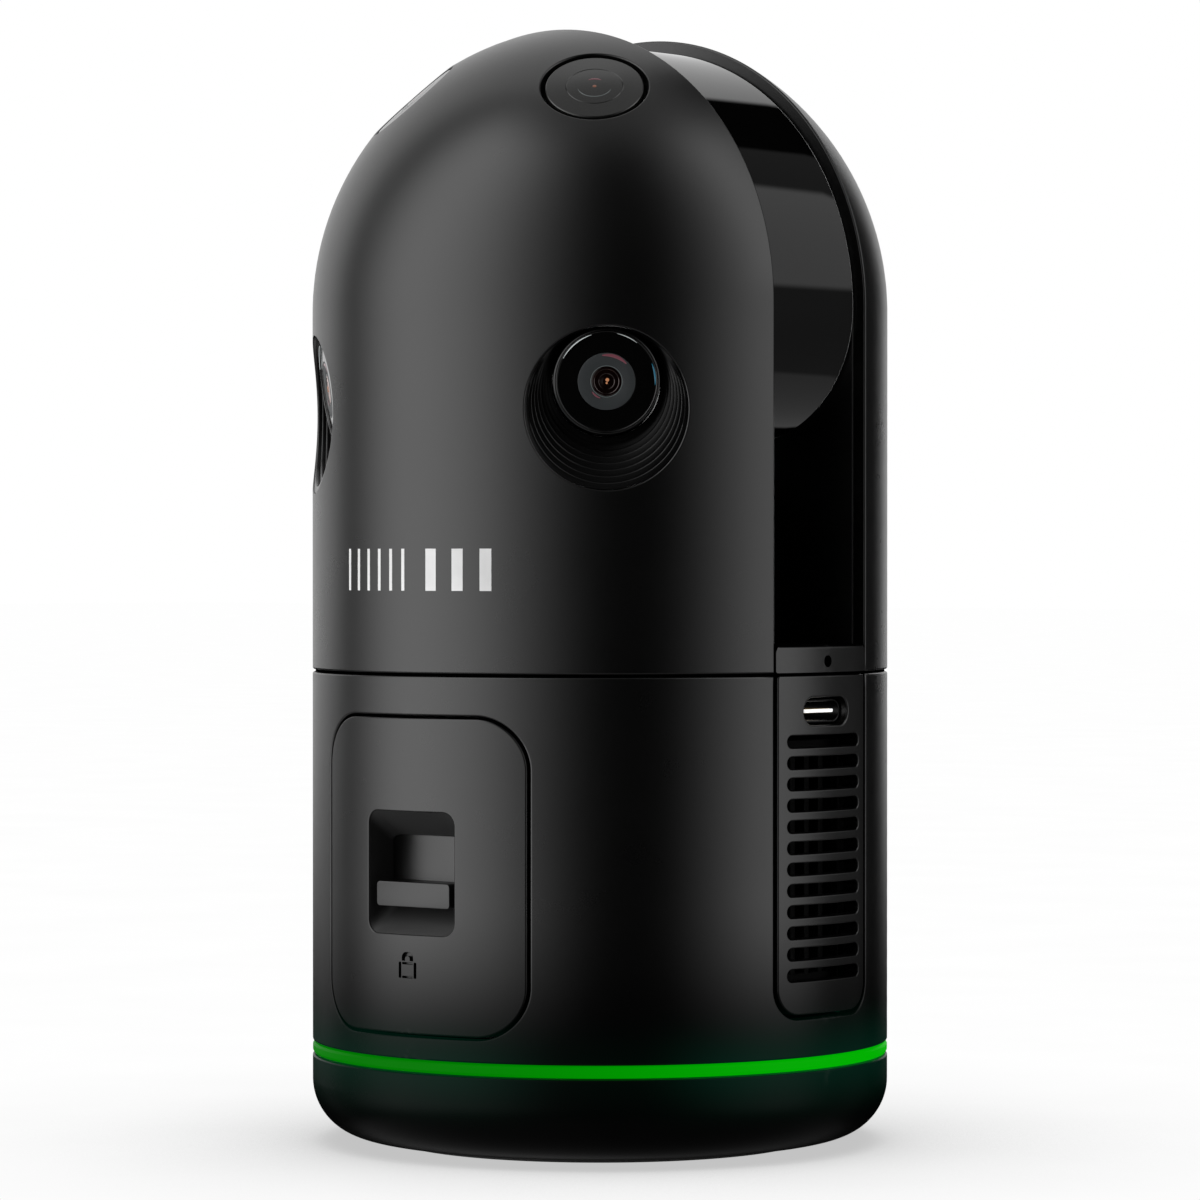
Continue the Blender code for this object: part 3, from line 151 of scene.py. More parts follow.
def finish_material(name, colour, roughness, metallic, grain=(7000, 0.10), mottle=0.15, wear=0.0,
                    brushed=None, glow=None, extra=None):
    """A surface with fine grain in its relief, uneven gloss, faint colour variation and worn edges.
    grain is (scale, depth), brushed stretches the grain, and extra(nodes, place) gives more inputs."""
    material = bpy.data.materials.new(name)
    material.use_nodes = True
    nodes = Nodes(material.node_tree)
    place = nodes.add("TexCoord").outputs["Object"]
    fine = nodes.noise(place, grain[0], 3.0, 0.6)
    broad = nodes.noise(place, 45.0, 5.0, 0.6)
    smudge = nodes.noise(place, 160.0, 4.0, 0.7)
    gloss = nodes.math("MULTIPLY_ADD", broad, 2 * mottle * roughness, roughness * (1 - mottle))
    gloss = nodes.math("MULTIPLY_ADD", smudge, mottle * roughness, gloss)
    shade = nodes.ramp(broad, 0.3, 0.7, 0.85, 1.15)
    tint = nodes.add("VectorMath", {0: rgba(colour)[:3], "Scale": shade}, operation="SCALE").outputs[0]
    if wear:
        edge = nodes.ramp(nodes.add("NewGeometry").outputs["Pointiness"], 0.53, 0.62)
        patchy = nodes.ramp(nodes.noise(place, 900.0, 4.0), 0.42, 0.62)
        worn = nodes.math("MULTIPLY", nodes.math("MULTIPLY", edge, patchy), wear)
        tint = nodes.mix(worn, tint, rgba(0.30))
    height = fine
    if brushed:
        stretched = nodes.add("Mapping", {"Vector": place, "Scale": brushed}).outputs[0]
        lines = nodes.noise(stretched, 900.0, 3.0, 0.6)
        height = nodes.math("MULTIPLY_ADD", lines, 1.5, fine)
        gloss = nodes.math("MULTIPLY_ADD", lines, 0.25 * roughness, gloss)
    bump = nodes.add("Bump", {"Strength": grain[1], "Distance": 0.0001, "Height": height}).outputs[0]
    links = {"Base Color": tint, "Roughness": gloss, "Metallic": metallic, "Normal": bump}
    if glow:
        links["Emission Color"] = rgba(glow[0])
        links["Emission Strength"] = glow[1](nodes, place) if callable(glow[1]) else glow[1]
    links.update(extra(nodes, place) if extra else {})
    surface = nodes.add("BsdfPrincipled", links).outputs[0]
    nodes.add("OutputMaterial", {"Surface": surface})
    return material


def to_the_right(nodes, place):
    """How far a point lies to the right of the camera's line, in metres."""
    parts = nodes.add("SeparateXYZ", {0: place}).outputs
    along_x = nodes.math("MULTIPLY", parts[0], math.cos(CAMERA_ANGLE))
    return nodes.math("MULTIPLY_ADD", parts[1], math.sin(CAMERA_ANGLE), along_x)


def painted_ring_glow(strength):
    """Painted light: a green glow in the material for the light that the ring throws on the faces beside it,
    fading with height and in the middle.
    """
    middle = (RING_LOW.z + RING_HIGH.z) / 2 * MM

    def glow(nodes, place):
        height = nodes.part(place, 2)
        away = nodes.math("ABSOLUTE", nodes.math("SUBTRACT", height, middle))
        fade = nodes.ramp(away, 0.0, 0.011, 1.0, 0.0)
        aside = nodes.ramp(nodes.math("ABSOLUTE", to_the_right(nodes, place)), 0.004, 0.022, 0.15, 1.0)
        level = nodes.math("MULTIPLY", nodes.math("POWER", fade, 2.0), aside)
        return nodes.math("MULTIPLY", level, strength)

    return glow


def ring_glow_and_painted_highlight(nodes, place):
    """The light ring's own glow, with a painted highlight: it is set brighter on the right of the camera's line.
    """
    return nodes.ramp(to_the_right(nodes, place), -0.03, 0.04, 0.17, 0.42)


def painted_shade_near_ground(nodes, place):
    """Painted shade: the material's reflection dies out towards the ground, where the studio is dark."""
    height = nodes.part(place, 2)
    return {"Specular IOR Level": nodes.ramp(height, 0.014, 0.037, 0.03, 0.5)}


def shine(level):
    """The share of light reflected straight off, where 0.5 is ordinary plastic."""
    return lambda nodes, place: {"Specular IOR Level": level}


def painted_shade_top(nodes, place):
    """Painted shade: the faces that look up lose their sheen, as they lie in the shade of the slot."""
    up = nodes.part(nodes.add("NewGeometry").outputs["Normal"], 2)
    return {"Specular IOR Level": nodes.ramp(up, 0.15, 0.6, 0.5, 0.0)}


def clear_in_reflections(nodes, place):
    """The window shows the studio, not the walls of the slot."""
    return {"Alpha": nodes.math("SUBTRACT", 1.0, nodes.add("LightPath").outputs["Is Glossy Ray"])}


def coating(nodes, place):
    """A near black glass with a faint warm and cool coating."""
    rim = nodes.add("LayerWeight", {"Blend": 0.35}).outputs["Facing"]
    cool = nodes.mix(rim, (0.004, 0.002, 0.002, 1), (0.004, 0.010, 0.012, 1))
    return {"Base Color": cool, "Coat Weight": 0.6, "Coat Tint": (1.0, 0.62, 0.55, 1.0)}


SATIN = {"grain": (8500, 0.12), "mottle": 0.08}
FINE, POLISHED = {"grain": (7000, 0.2)}, {"wear": 0.2}
# name: colour, roughness, metallic, the rest
FINISHES = {
    # satin_black: painted shade cuts its sheen towards the ground.
    "satin_black": (0.0009, 0.27, 0, {**SATIN, "wear": 0.03, "extra": painted_shade_near_ground,
                                      # Its glow is painted light: the green that the ring throws on the housing.
                                      "glow": ((0.0, 1.0, 0.55), painted_ring_glow(0.012))}),
    # strip_black: painted shade takes the sheen off the faces that look up.
    "strip_black": (0.0009, 0.27, 0, {**SATIN, "wear": 0.03, "extra": painted_shade_top}),
    "recess_black": (0.0012, 0.30, 0, SATIN),
    # Painted light: a lighter copy of the black for the walls of the grip recess, as if lit.
    "lit_recess_wall": (0.030, 0.42, 0, SATIN),
    "black_plastic": (0.003, 0.45, 0, {"grain": (6000, 0.2), "mottle": 0.2}),
    "scoop_black": (0.0012, 0.24, 0, {"grain": (6000, 0.06), "mottle": 0.1}),
    "slot_black": (0.0015, 0.32, 0, {"grain": (6000, 0.12), "mottle": 0.1, "extra": clear_in_reflections}),
    "anodised_black": (0.0008, 0.60, 0, {**FINE, "extra": shine(0.12)}),
    # Painted shade: reflects nothing, for the ring that darkens the seam.
    "seam_shade_black": (0.0002, 0.7, 0, {**FINE, "extra": shine(0.0)}),
    "port_black": (0.001, 0.25, 0, {"grain": (7000, 0.1), "extra": shine(0.25)}),
    "bezel_black": (0.001, 0.12, 0, {"grain": (900, 0.01), "extra": shine(1.0)}),
    "chip_black": (0.02, 0.5, 0, {"grain": (5000, 0.2)}),
    "soft_rubber": (0.012, 0.85, 0, {"grain": (4000, 0.4), "mottle": 0.1}),
    # The ring is a lamp; its glow is set brighter on the right, a painted highlight.
    "ring_light": ((0.0, 0.02, 0.0), 0.4, 0, {"glow": ((0, 1, 0), ring_glow_and_painted_highlight), "extra": shine(0.02)}),
    "dark_glass": (0.0015, 0.025, 0, {"grain": (300, 0.004), "mottle": 0.4}),
    "lens_glass": (0.002, 0.06, 0, {"grain": (300, 0.003), "mottle": 0.3}),
    "pupil": (0.003, 0.05, 0, {"grain": (300, 0.002), "extra": coating}),
    "sky_glass": ((0.010, 0.010, 0.0095), 0.16, 0, {"grain": (600, 0.01)}),
    "mirror_silver": (0.9, 0.03, 1, {"grain": (300, 0.002)}),
    "aluminium": ((0.60, 0.61, 0.62), 0.34, 1, {**POLISHED, "brushed": (1, 1, 14)}),
    "steel": ((0.54, 0.54, 0.55), 0.27, 1, {**POLISHED, "brushed": (1, 1, 10)}),
    "brass": ((0.72, 0.54, 0.26), 0.30, 1, {"brushed": (1, 10, 1)}),
    "circuit_board": ((0.015, 0.12, 0.05), 0.42, 0, {"grain": (2500, 0.2)}),
    "cell_wrap": ((0.06, 0.12, 0.30), 0.35, 0, {"grain": (900, 0.05)}),
    "white_mark": (0.82, 0.5, 0, {"grain": (9000, 0.1)}),
    "ring_grey": ((0.028, 0.032, 0.034), 0.45, 0, {"grain": (9000, 0.1)}),
    # Painted light: the port's tongue glows so that it reads pale.
    "glowing_pale_plastic": (0.80, 0.4, 0, {"glow": ((1, 1, 1), 0.85)}),
    # The glint looks glow: painted highlights and painted reflections in the lenses.
    "amber_glint": (0.002, 0.1, 0, {"glow": ((0.85, 0.36, 0.17), 0.5)}),
    "ember_glint": (0.002, 0.1, 0, {"glow": ((0.30, 0.10, 0.05), 0.5)}),
    "rose_glint": (0.002, 0.1, 0, {"glow": ((0.20, 0.065, 0.085), 0.6)}),
    "white_glint": (0.002, 0.1, 0, {"glow": ((0.75, 0.80, 0.80), 0.7)}),
    "teal_glint": (0.002, 0.1, 0, {"glow": ((0.01, 0.10, 0.16), 1.0)}),
    "cool_glint": (0.002, 0.1, 0, {"glow": ((0.060, 0.070, 0.070), 1.0)}),
}
MATERIALS = {name: finish_material(name, *values, **more) for name, (*values, more) in FINISHES.items()}


# ---------------------------------------------------------------- pieces
def register(obj, body, slot, *nodes):
    """Puts a finished piece on its body and hides the CAD nodes it stands for."""
    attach(obj, body)
    if nodes:
        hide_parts(*nodes)
    return obj


def new_object(name, mesh):
    obj = bpy.data.objects.new(name, mesh)
    bpy.context.scene.collection.objects.link(obj)
    return obj


def smooth(obj, angle=32):
    """Smooth faces with crisp edges; flat faces keep a flat shine."""
    obj.data.shade_smooth()
    obj.data.set_sharp_from_angle(angle=math.radians(angle))
    weighted = obj.modifiers.new("weighted", "WEIGHTED_NORMAL")
    weighted.keep_sharp = True
    return obj


def bmesh_piece(name, bm, material, place=None, angle=32):
    """The bmesh, in millimetres, as a finished object."""
    bmesh.ops.recalc_face_normals(bm, faces=bm.faces)
    mesh = bpy.data.meshes.new(name)
    bm.to_mesh(mesh)
    bm.free()
    mesh.transform(place or Matrix.Identity(4))
    mesh.transform(Matrix.Scale(MM, 4))
    mesh.materials.append(MATERIALS[material])
    return smooth(new_object(name, mesh), angle)


def facing(origin, outward, up=Vector((0, 0, 1))):
    """A frame at origin whose Z is outward and whose Y leans to up."""
    z = Vector(outward).normalized()
    x = up.cross(z).normalized()
    y = z.cross(x)
    turn = Matrix((x, y, z)).transposed().to_4x4()
    return Matrix.Translation(Vector(origin)) @ turn


def outline(corners, step=1.2, arc_step=0.35):
    """Points along a closed path of corners (x, y, radius), each with the unit vector to its left."""
    points, count = [], len(corners)
    for i, (x, y, radius) in enumerate(corners):
        here = Vector((x, y))
        before = (here - Vector(corners[i - 1][:2])).normalized()
        after = (Vector(corners[(i + 1) % count][:2]) - here).normalized()
        left_a, left_b = Vector((-before.y, before.x)), Vector((-after.y, after.x))
        turn = math.atan2(before.cross(after), before.dot(after))
        if radius:
            centre = here - before * radius * math.tan(abs(turn) / 2) + left_a * math.copysign(radius, turn)
            steps = max(3, math.ceil(abs(turn) * radius / arc_step))
            for k in range(steps + 1):
                left = Matrix.Rotation(turn * k / steps, 2) @ left_a
                points.append((centre - left * math.copysign(radius, turn), left))
        else:
            points.append((here, (left_a + left_b) / (1 + left_a.dot(left_b))))
    filled = []
    for i, (point, left) in enumerate(points):
        filled.append((point, left))
        other = points[(i + 1) % len(points)][0]
        pieces = math.ceil((other - point).length / step)
        side = (other - point).normalized()
        flat = Vector((-side.y, side.x))
        filled += [(point.lerp(other, k / pieces), flat) for k in range(1, pieces)]
    return filled


def hole(corners, **steps):
    """The same path walked the other way, so that the material is on its left."""
    return outline([corners[0]] + corners[:0:-1], **steps)


def rectangle(half, low, high, radius, centre=0.0):
    return [(centre - half, low, radius), (centre + half, low, radius),
            (centre + half, high, radius), (centre - half, high, radius)]


def mapped(path, change):
    """The path under a change of chart; the second vector follows it."""
    return [(change(p), (change(p + left * SMALL) - change(p)) / SMALL) for p, left in path]


SAME_WAY = 0.8  # faces whose normals agree this well are shaded as one
TINY = 1e-7  # points this near each other are one, in a triangulation
ROUND_STEPS = 3  # faces across a rounded edge


class Sheet:
    """A wall with holes: its face follows chart(u, v, depth), and every rim has a rounded edge."""

    def __init__(self, chart, back, pitch=2.0):
        self.chart, self.back, self.pitch = chart, back, pitch
        self.rims = []
        self.points, self.faces, self.corners, self.slots = [], [], [], []

    def rim(self, path, edge=EDGE, back=None, rings=(), floor=False, skip=None, slot=0):
        """An outer or inner rim. rings are more outlines (points) below the edge, before the back.
        slot is the material slot of the walls below the edge."""
        self.rims.append({"path": path, "edge": edge, "back": back or self.back, "rings": rings,
                          "floor": floor, "skip": skip, "slot": slot})
        return self

    def add(self, points):
        start = len(self.points)
        self.points.extend(points)
        return list(range(start, len(self.points)))

    def at(self, flat, depth=0.0):
        return self.chart(flat.x, flat.y, depth)

    def normal(self, flat):
        here = self.at(flat)
        across = self.at(flat + Vector((SMALL, 0))) - here
        along = self.at(flat + Vector((0, SMALL))) - here
        return across.cross(along).normalized()

    def face(self, ids, normals, slot=0):
        self.faces.append(ids)
        self.corners.append(normals)
        self.slots.append(slot)

    def band(self, first, second, normals=None, skip=None, slot=0):
        """Quads between two rings. Without normals, each corner takes the smoothed face normals."""
        count = len(first)
        turn = [(i, (i + 1) % count) for i in range(count)]
        quads = [(first[after], first[i], second[i], second[after]) for i, after in turn]
        flats = []
        for quad in quads:
            a, b, c, d = (self.points[k] for k in quad)
            flats.append((c - a).cross(d - b).normalized())
        for (i, after), quad in zip(turn, quads):
            if skip and skip(i, after):
                continue
            if normals:
                ends = (normals[0][after], normals[0][i], normals[1][i], normals[1][after])
            else:
                here, beyond, before = flats[i], flats[after], flats[i - 1]
                late = (here + beyond).normalized() if here.dot(beyond) > SAME_WAY else here
                early = (here + before).normalized() if here.dot(before) > SAME_WAY else here
                ends = (late, early, early, late)
            self.face(quad, ends, slot)

    def build(self, name, material, body, *nodes, marks=(), second=None):
        """Triangulates the outline, wraps it, adds edges, walls and back, and returns the piece.
        The areas within marks, and the walls of a rim with slot 1, take the second material."""
        flats, edges = [], []
        loops = [[p + left * rim["edge"] for p, left in rim["path"]] for rim in self.rims]
        closed = loops + list(marks)
        for k, loop in enumerate(closed):
            start = len(flats)
            flats += loop
            edges += [(start + i, start + (i + 1) % len(loop)) for i in range(len(loop))]
            if k < len(loops):
                self.rims[k]["start"] = start
        flats += self.grid(closed)
        made, _, faces, origin, _, _ = delaunay_2d_cdt(flats, edges, [], 0, TINY)
        source = [ids[0] for ids in origin]
        chosen = []
        for face in faces:
            middle = sum((made[k] for k in face), Vector((0, 0))) / 3
            if sum(inside(middle, loop) for loop in loops) % 2:
                a, b, c = (made[k] for k in face)
                order = face if (b - a).cross(c - a) > 0 else face[::-1]
                marked = any(inside(middle, path) for path in marks)
                chosen.append(([source[k] for k in order], int(marked)))
        fronts = self.add([self.at(p) for p in flats])
        normals = [self.normal(p) for p in flats]
        backs = [self.back(self.points[k]) for k in fronts]
        for rim in self.rims:
            for i in range(len(rim["path"])):
                backs[rim["start"] + i] = rim["back"](self.at(rim["path"][i][0]))
        behind = self.add(backs)
        for ids, slot in chosen:
            self.face([fronts[k] for k in ids], [normals[k] for k in ids], slot)
            turned = [behind[k] for k in ids[::-1]]
            a, b, c = (self.points[k] for k in turned)
            flat = (b - a).cross(c - a)
            flat = flat.normalized() if flat.length > 1e-9 else -normals[ids[0]]
            self.face(turned, [flat if flat.dot(-normals[k]) < 0.9 else -normals[k] for k in ids[::-1]])
        for rim in self.rims:
            self.walls(rim, fronts, behind, normals)
        return self.piece(name, material, body, nodes, second)

    def grid(self, loops):
        """Points inside the outline, in a triangular pattern, clear of every rim."""
        near = {}
        cell = self.pitch
        for loop in loops:
            for p in loop:
                near.setdefault((math.floor(p.x / cell), math.floor(p.y / cell)), []).append(p)
        outer = loops[0]
        low_u, high_u = min(p.x for p in outer), max(p.x for p in outer)
        low_v, high_v = min(p.y for p in outer), max(p.y for p in outer)
        found = []
        rows = int((high_v - low_v) / (cell * 0.87))
        for row in range(1, rows + 1):
            v = low_v + row * (high_v - low_v) / (rows + 1)
            columns = int((high_u - low_u) / cell)
            for column in range(columns + 1):
                p = Vector((low_u + (column + 0.5 * (row % 2)) * (high_u - low_u) / columns, v))
                x, y = math.floor(p.x / cell), math.floor(p.y / cell)
                beside = [(i, j) for i in (x - 1, x, x + 1) for j in (y - 1, y, y + 1)]
                close = [q for key in beside for q in near.get(key, [])]
                if all((p - q).length > 0.6 * cell for q in close):
                    found.append(p)
        return [p for p in found if inside(p, outer)]

    def walls(self, rim, fronts, behind, normals):
        """The rounded edge of a rim, then its walls down to the back or to a floor."""
        path, edge, count = rim["path"], rim["edge"], len(rim["path"])
        top = [fronts[rim["start"] + i] for i in range(count)]
        face_normals = [normals[rim["start"] + i] for i in range(count)]
        outward = []
        for (p, left), n in zip(path, face_normals):
            side = self.at(p) - self.at(p + left * 0.02)
            side = side - n * side.dot(n)
            outward.append(side.normalized() if side.length > 1e-9 else n)
        skip = rim["skip"] and (lambda i, j: rim["skip"](path[i][0], path[j][0]))
        last, last_normals = top, face_normals
        for k in range(1, ROUND_STEPS + 1):
            turn = math.pi / 2 * k / ROUND_STEPS
            away, down = edge * (1 - math.sin(turn)), edge * (1 - math.cos(turn))
            ids = self.add([self.at(p + left * away, down) for p, left in path])
            turned = [n * math.cos(turn) + o * math.sin(turn) for n, o in zip(face_normals, outward)]
            self.band(last, ids, (last_normals, turned), skip)
            last, last_normals = ids, turned
        for ring in rim["rings"]:
            ids = self.add(ring)
            self.band(last, ids, None, skip, rim["slot"])
            last = ids
        if rim["floor"]:
            flat = [p for p, _ in path]
            _, _, faces, origin, _, _ = delaunay_2d_cdt(
                flat, [(i, (i + 1) % count) for i in range(count)], [], 1, TINY)
            for face in faces:
                ids = [origin[k][0] for k in face]
                a, b, c = (flat[k] for k in ids)
                ids = ids if (b - a).cross(c - a) > 0 else ids[::-1]
                self.face([last[k] for k in ids], [face_normals[k] for k in ids], rim["slot"])
            return
        self.band(last, [behind[rim["start"] + i] for i in range(count)], None, skip, rim["slot"])

    def piece(self, name, material, body, nodes, second):
        """One welded mesh in metres, with the corner normals worked out above."""
        first, merged = {}, []
        for p in self.points:
            key = (round(p.x, 4), round(p.y, 4), round(p.z, 4))
            merged.append(first.setdefault(key, len(first)))
        places = [Vector(key) * MM for key in first]
        faces, normals, slots = [], [], []
        for ids, corner_normals, slot in zip(self.faces, self.corners, self.slots):
            kept = [k for k in range(len(ids)) if merged[ids[k]] != merged[ids[k - 1]]]
            if len(kept) < 3:
                continue
            faces.append([merged[ids[k]] for k in kept])
            normals += [corner_normals[k] for k in kept]
            slots.append(slot)
        mesh = bpy.data.meshes.new(name)
        mesh.from_pydata(places, [], faces)
        mesh.materials.append(MATERIALS[material])
        if second:
            mesh.materials.append(MATERIALS[second])
            mesh.polygons.foreach_set("material_index", slots)
        mesh.shade_smooth()
        mesh.normals_split_custom_set([tuple(n) for n in normals])
        return register(new_object(name, mesh), body, SLOT_OF[nodes[0]], *nodes)


def inside(point, loop):
    """Whether the point is within the closed loop."""
    x, y, found = point.x, point.y, False
    previous = loop[-1]
    for p in loop:
        if (p.y > y) != (previous.y > y):
            if x < (previous.x - p.x) * (y - p.y) / (previous.y - p.y) + p.x:
                found = not found
        previous = p
    return found


# ---------------------------------------------------------------- charts
def cylinder(radius=BODY_R):
    def chart(u, v, depth):
        angle = u / radius
        return Vector((math.sin(angle) * (radius - depth), -math.cos(angle) * (radius - depth), v))

    return chart


def capsule(u, v, depth):
    """The body's cylinder up to the dome, then the dome laid flat round its -Y pole."""
    if v <= DOME_Z:
        return cylinder()(u, v, depth)
    away = math.hypot(u, v - DOME_Z)
    angle = away / BODY_R
    flat = math.sin(angle) / away
    out = Vector((u * flat, -math.cos(angle), (v - DOME_Z) * flat))
    return out * (BODY_R - depth) + Vector((0, 0, DOME_Z))


def capsule_flat(point):
    """The chart's (u, v) of a point on the dome's front half."""
    d = (point - Vector((0, 0, DOME_Z))).normalized()
    angle = math.acos(-d.y)
    flat = angle * BODY_R / math.hypot(d.x, d.z)
    return Vector((d.x * flat, DOME_Z + d.z * flat))


def radial_back(wall):
    def back(p):
        centre = Vector((0, 0, min(p.z, DOME_Z)))
        return centre + (p - centre).normalized() * (BODY_R - wall)

    return back


def same_y_back(wall):
    """Beside the slot it goes in with y held, so that the wall there stays in its plane."""
    def back(p):
        if abs(p.y) > SLOT_HALF + 0.01:
            return radial_back(wall)(p)
        z = max(p.z - DOME_Z, 0.0)
        inner = math.sqrt((BODY_R - wall) ** 2 - p.y ** 2)
        scale = inner / math.hypot(p.x, z)
        return Vector((p.x * scale, p.y, p.z - z + z * scale))

    return back


def front_plane(y):
    return lambda p: Vector((p.x, y, p.z))


def wrap(angle):
    """From (sideways, z) seen straight on at that angle to the cylinder's chart."""
    return lambda p: Vector((BODY_R * (angle + math.asin(p.x / BODY_R)), p.y))


# ---------------------------------------------------------------- shells
def circle_path(centre, outward, radius, to_flat, count=72):
    """A round hole seen along outward, in the chart, with the material on its left."""
    place = facing(centre, outward)

    def flat(angle, r):
        return to_flat(place @ Vector((r * math.cos(angle), r * math.sin(angle), 0)))

    path = []
    for k in range(count):
        angle = -math.tau * k / count
        here = flat(angle, radius)
        path.append((here, flat(angle, radius + 0.5) / 0.5 - here / 0.5))
    return path


def level_direction(angle):
    return Vector((math.sin(angle), -math.cos(angle), 0))


def side_direction(sign):
    return level_direction(sign * SIDE_ANGLE)


def sky_direction(sign):
    level, turn = math.cos(SKY_LIFT), sign * SKY_ANGLE
    return Vector((math.sin(turn) * level, -math.cos(turn) * level, math.sin(SKY_LIFT)))


def tower_path():
    """Bottom, side, dome rim and side of one tower, laid flat."""
    half = BODY_R * math.acos(SLOT_HALF / BODY_R)
    steps, rows, arcs = 60, 26, 110
    path = [(Vector((-half, SEAM_HIGH)), Vector((1, 1)))]
    path += [(Vector((-half + 2 * half * k / steps, SEAM_HIGH)), Vector((0, 1))) for k in range(1, steps)]
    path += [(Vector((half, SEAM_HIGH)), Vector((-1, 1)))]
    rise = DOME_Z - SEAM_HIGH
    path += [(Vector((half, SEAM_HIGH + rise * k / rows)), Vector((-1, 0))) for k in range(1, rows)]
    for k in range(arcs + 1):
        angle = math.pi * k / arcs
        out = Vector((math.cos(angle), math.sin(angle)))
        path.append((Vector((0, DOME_Z)) + out * half, -out))
    path += [(Vector((-half, DOME_Z - rise * k / rows)), Vector((1, 0))) for k in range(1, rows)]
    return path


def bar(centre_u, centre_v, width, height):
    """An upright bar as a closed outline on the chart, with points along its sides."""
    half_w, half_h = width / 2, height / 2
    corners = [(-half_w, -half_h), (half_w, -half_h), (half_w, half_h), (-half_w, half_h)]
    path = []
    for i, (x, y) in enumerate(corners):
        next_x, next_y = corners[(i + 1) % 4]
        for k in range(4):
            along_x, along_y = x + (next_x - x) * k / 4, y + (next_y - y) * k / 4
            path.append(Vector((centre_u + along_x, centre_v + along_y)))
    return path


def generic_marks():
    """A plain row of upright bars: six thin ones, then three thick ones."""
    z, height = 79.4, 5.6
    thin = [bar(-12.3 + 2.3 * k, z, 0.55, height) for k in range(6)]
    thick = [bar(4.0 + 4.2 * k, z, 1.7, height) for k in range(3)]
    return thin + thick


def build_towers():
    front = Sheet(capsule, radial_back(HEAD_WALL))
    front.rim(tower_path(), back=same_y_back(HEAD_WALL))
    for sign in (-1, 1):
        outward = side_direction(sign)

        def flat(point, outward=outward, sign=sign):
            across = outward.cross(Vector((0, 0, 1)))
            sideways = point.dot(across)
            return Vector((BODY_R * (sign * SIDE_ANGLE - math.asin(sideways / BODY_R)), point.z))

        front.rim(circle_path(Vector((0, 0, SCOOP_Z)), outward, SCOOP_R + 0.1, flat, 96), edge=HOLE_EDGE)
        lifted = Vector((0, 0, DOME_Z)) + sky_direction(sign) * SKY_OUT
        front.rim(circle_path(lifted, sky_direction(sign), SKY_HOLE_R, capsule_flat), edge=HOLE_EDGE)
    front.build("front_shell_skin", "satin_black", "head", "front_shell", marks=generic_marks(),
                second="white_mark")
    rear = Sheet(capsule, radial_back(HEAD_WALL)).rim(tower_path(), back=same_y_back(HEAD_WALL))
    piece = rear.build("rear_shell_skin", "satin_black", "head", "rear_shell")
    piece.data.transform(Matrix.Rotation(math.pi, 4, "Z"))
    piece.visible_glossy = False


def build_housing():
    half_turn = math.pi * BODY_R
    low, high = HOUSING_LOW.z, SEAM_LOW
    notch = BODY_R * math.asin((PANEL_HIGH.y + PANEL_GAP) / BODY_R)
    floor = PANEL_LOW.z - PANEL_GAP
    corner = PANEL_CORNER + PANEL_GAP
    corners = [(-half_turn, low, 0), (half_turn, low, 0), (half_turn, high, 0)]
    for middle in (half_turn / 2, -half_turn / 2):
        corners += [(middle + notch, high, 0), (middle + notch, floor, corner),
                    (middle - notch, floor, corner), (middle - notch, high, 0)]
    corners.append((-half_turn, high, 0))
    path = outline(corners, step=2.0)
    seam = half_turn - 0.001
    path = [(p, Vector((0, left.y)) if abs(p.x) > seam else left) for p, left in path]
    sheet = Sheet(cylinder(), radial_back(BASE_WALL))
    sheet.rim(path, skip=lambda a, b: abs(a.x) > seam and abs(b.x) > seam)
    door = rectangle(COVER_HIGH.x + DOOR_GAP, COVER_LOW.z - DOOR_GAP, COVER_HIGH.z + DOOR_GAP, DOOR_CORNER)
    sheet.rim(mapped(hole(door), wrap(0)))
    sheet.build("base_housing_skin", "satin_black", "base", "base_housing")


def vents(count, angle):
    """Slots with round ends, one above the other."""
    paths = []
    for k in range(count):
        low = VENT_LOW + VENT_PITCH * k
        slot = rectangle(VENT_HALF, low, low + VENT_H, VENT_H / 2 - 0.01)
        paths.append(mapped(hole(slot, step=1.6, arc_step=0.3), wrap(angle)))
    return paths


def build_side_panels():
    sides = (("vent_panel", PORT_VENTS, math.pi / 2), ("button_panel", BUTTON_VENTS, -math.pi / 2))
    for name, count, angle in sides:
        corners = rectangle(PANEL_HIGH.y, PANEL_LOW.z, SEAM_LOW, PANEL_CORNER)
        corners = corners[:2] + [(x, z, 0.5) for x, z, _ in corners[2:]]
        sheet = Sheet(cylinder(), radial_back(PANEL_WALL), pitch=1.6)
        sheet.rim(mapped(outline(corners, step=1.5), wrap(angle)), edge=0.25)
        for path in vents(count, angle):
            sheet.rim(path, edge=0.2)
        if name == "vent_panel":
            radius = PORT_H / 2 + PORT_GAP
            mouth = rectangle(PORT_W / 2 + PORT_GAP, PORT_Z - radius, PORT_Z + radius, radius - 0.01)
            sheet.rim(mapped(hole(mouth, step=1.2, arc_step=0.25), wrap(angle)), edge=0.3)
        else:
            radius = BUTTON_R + 0.3
            ring = rectangle(radius, BUTTON_Z - radius, BUTTON_Z + radius, radius - 0.01)
            sheet.rim(mapped(hole(ring), wrap(angle)), edge=0.3)
        sheet.build(name + "_skin", "satin_black", "base", name)


def padlock():
    """A closed padlock, engraved in lines: the four sides of its body, and the shackle above it."""
    low, half, high, rise = 24.9, 1.55, 27.0, 1.35
    side, cross, apart = 0.2, 0.26, 0.22
    body = [rectangle(side, low, high, 0.12, centre) for centre in (side - half, half - side)]
    body += [rectangle(half - 2 * side - apart, z, z + cross, 0.1) for z in (low, high - cross)]
    foot, top = high + 0.22, high + rise
    shackle = [(-0.98, foot, 0), (-0.46, foot, 0), (-0.46, top - 0.5, 0.4), (0.46, top - 0.5, 0.4),
               (0.46, foot, 0), (0.98, foot, 0), (0.98, top, 0.75), (-0.98, top, 0.75)]
    return body + [shackle]


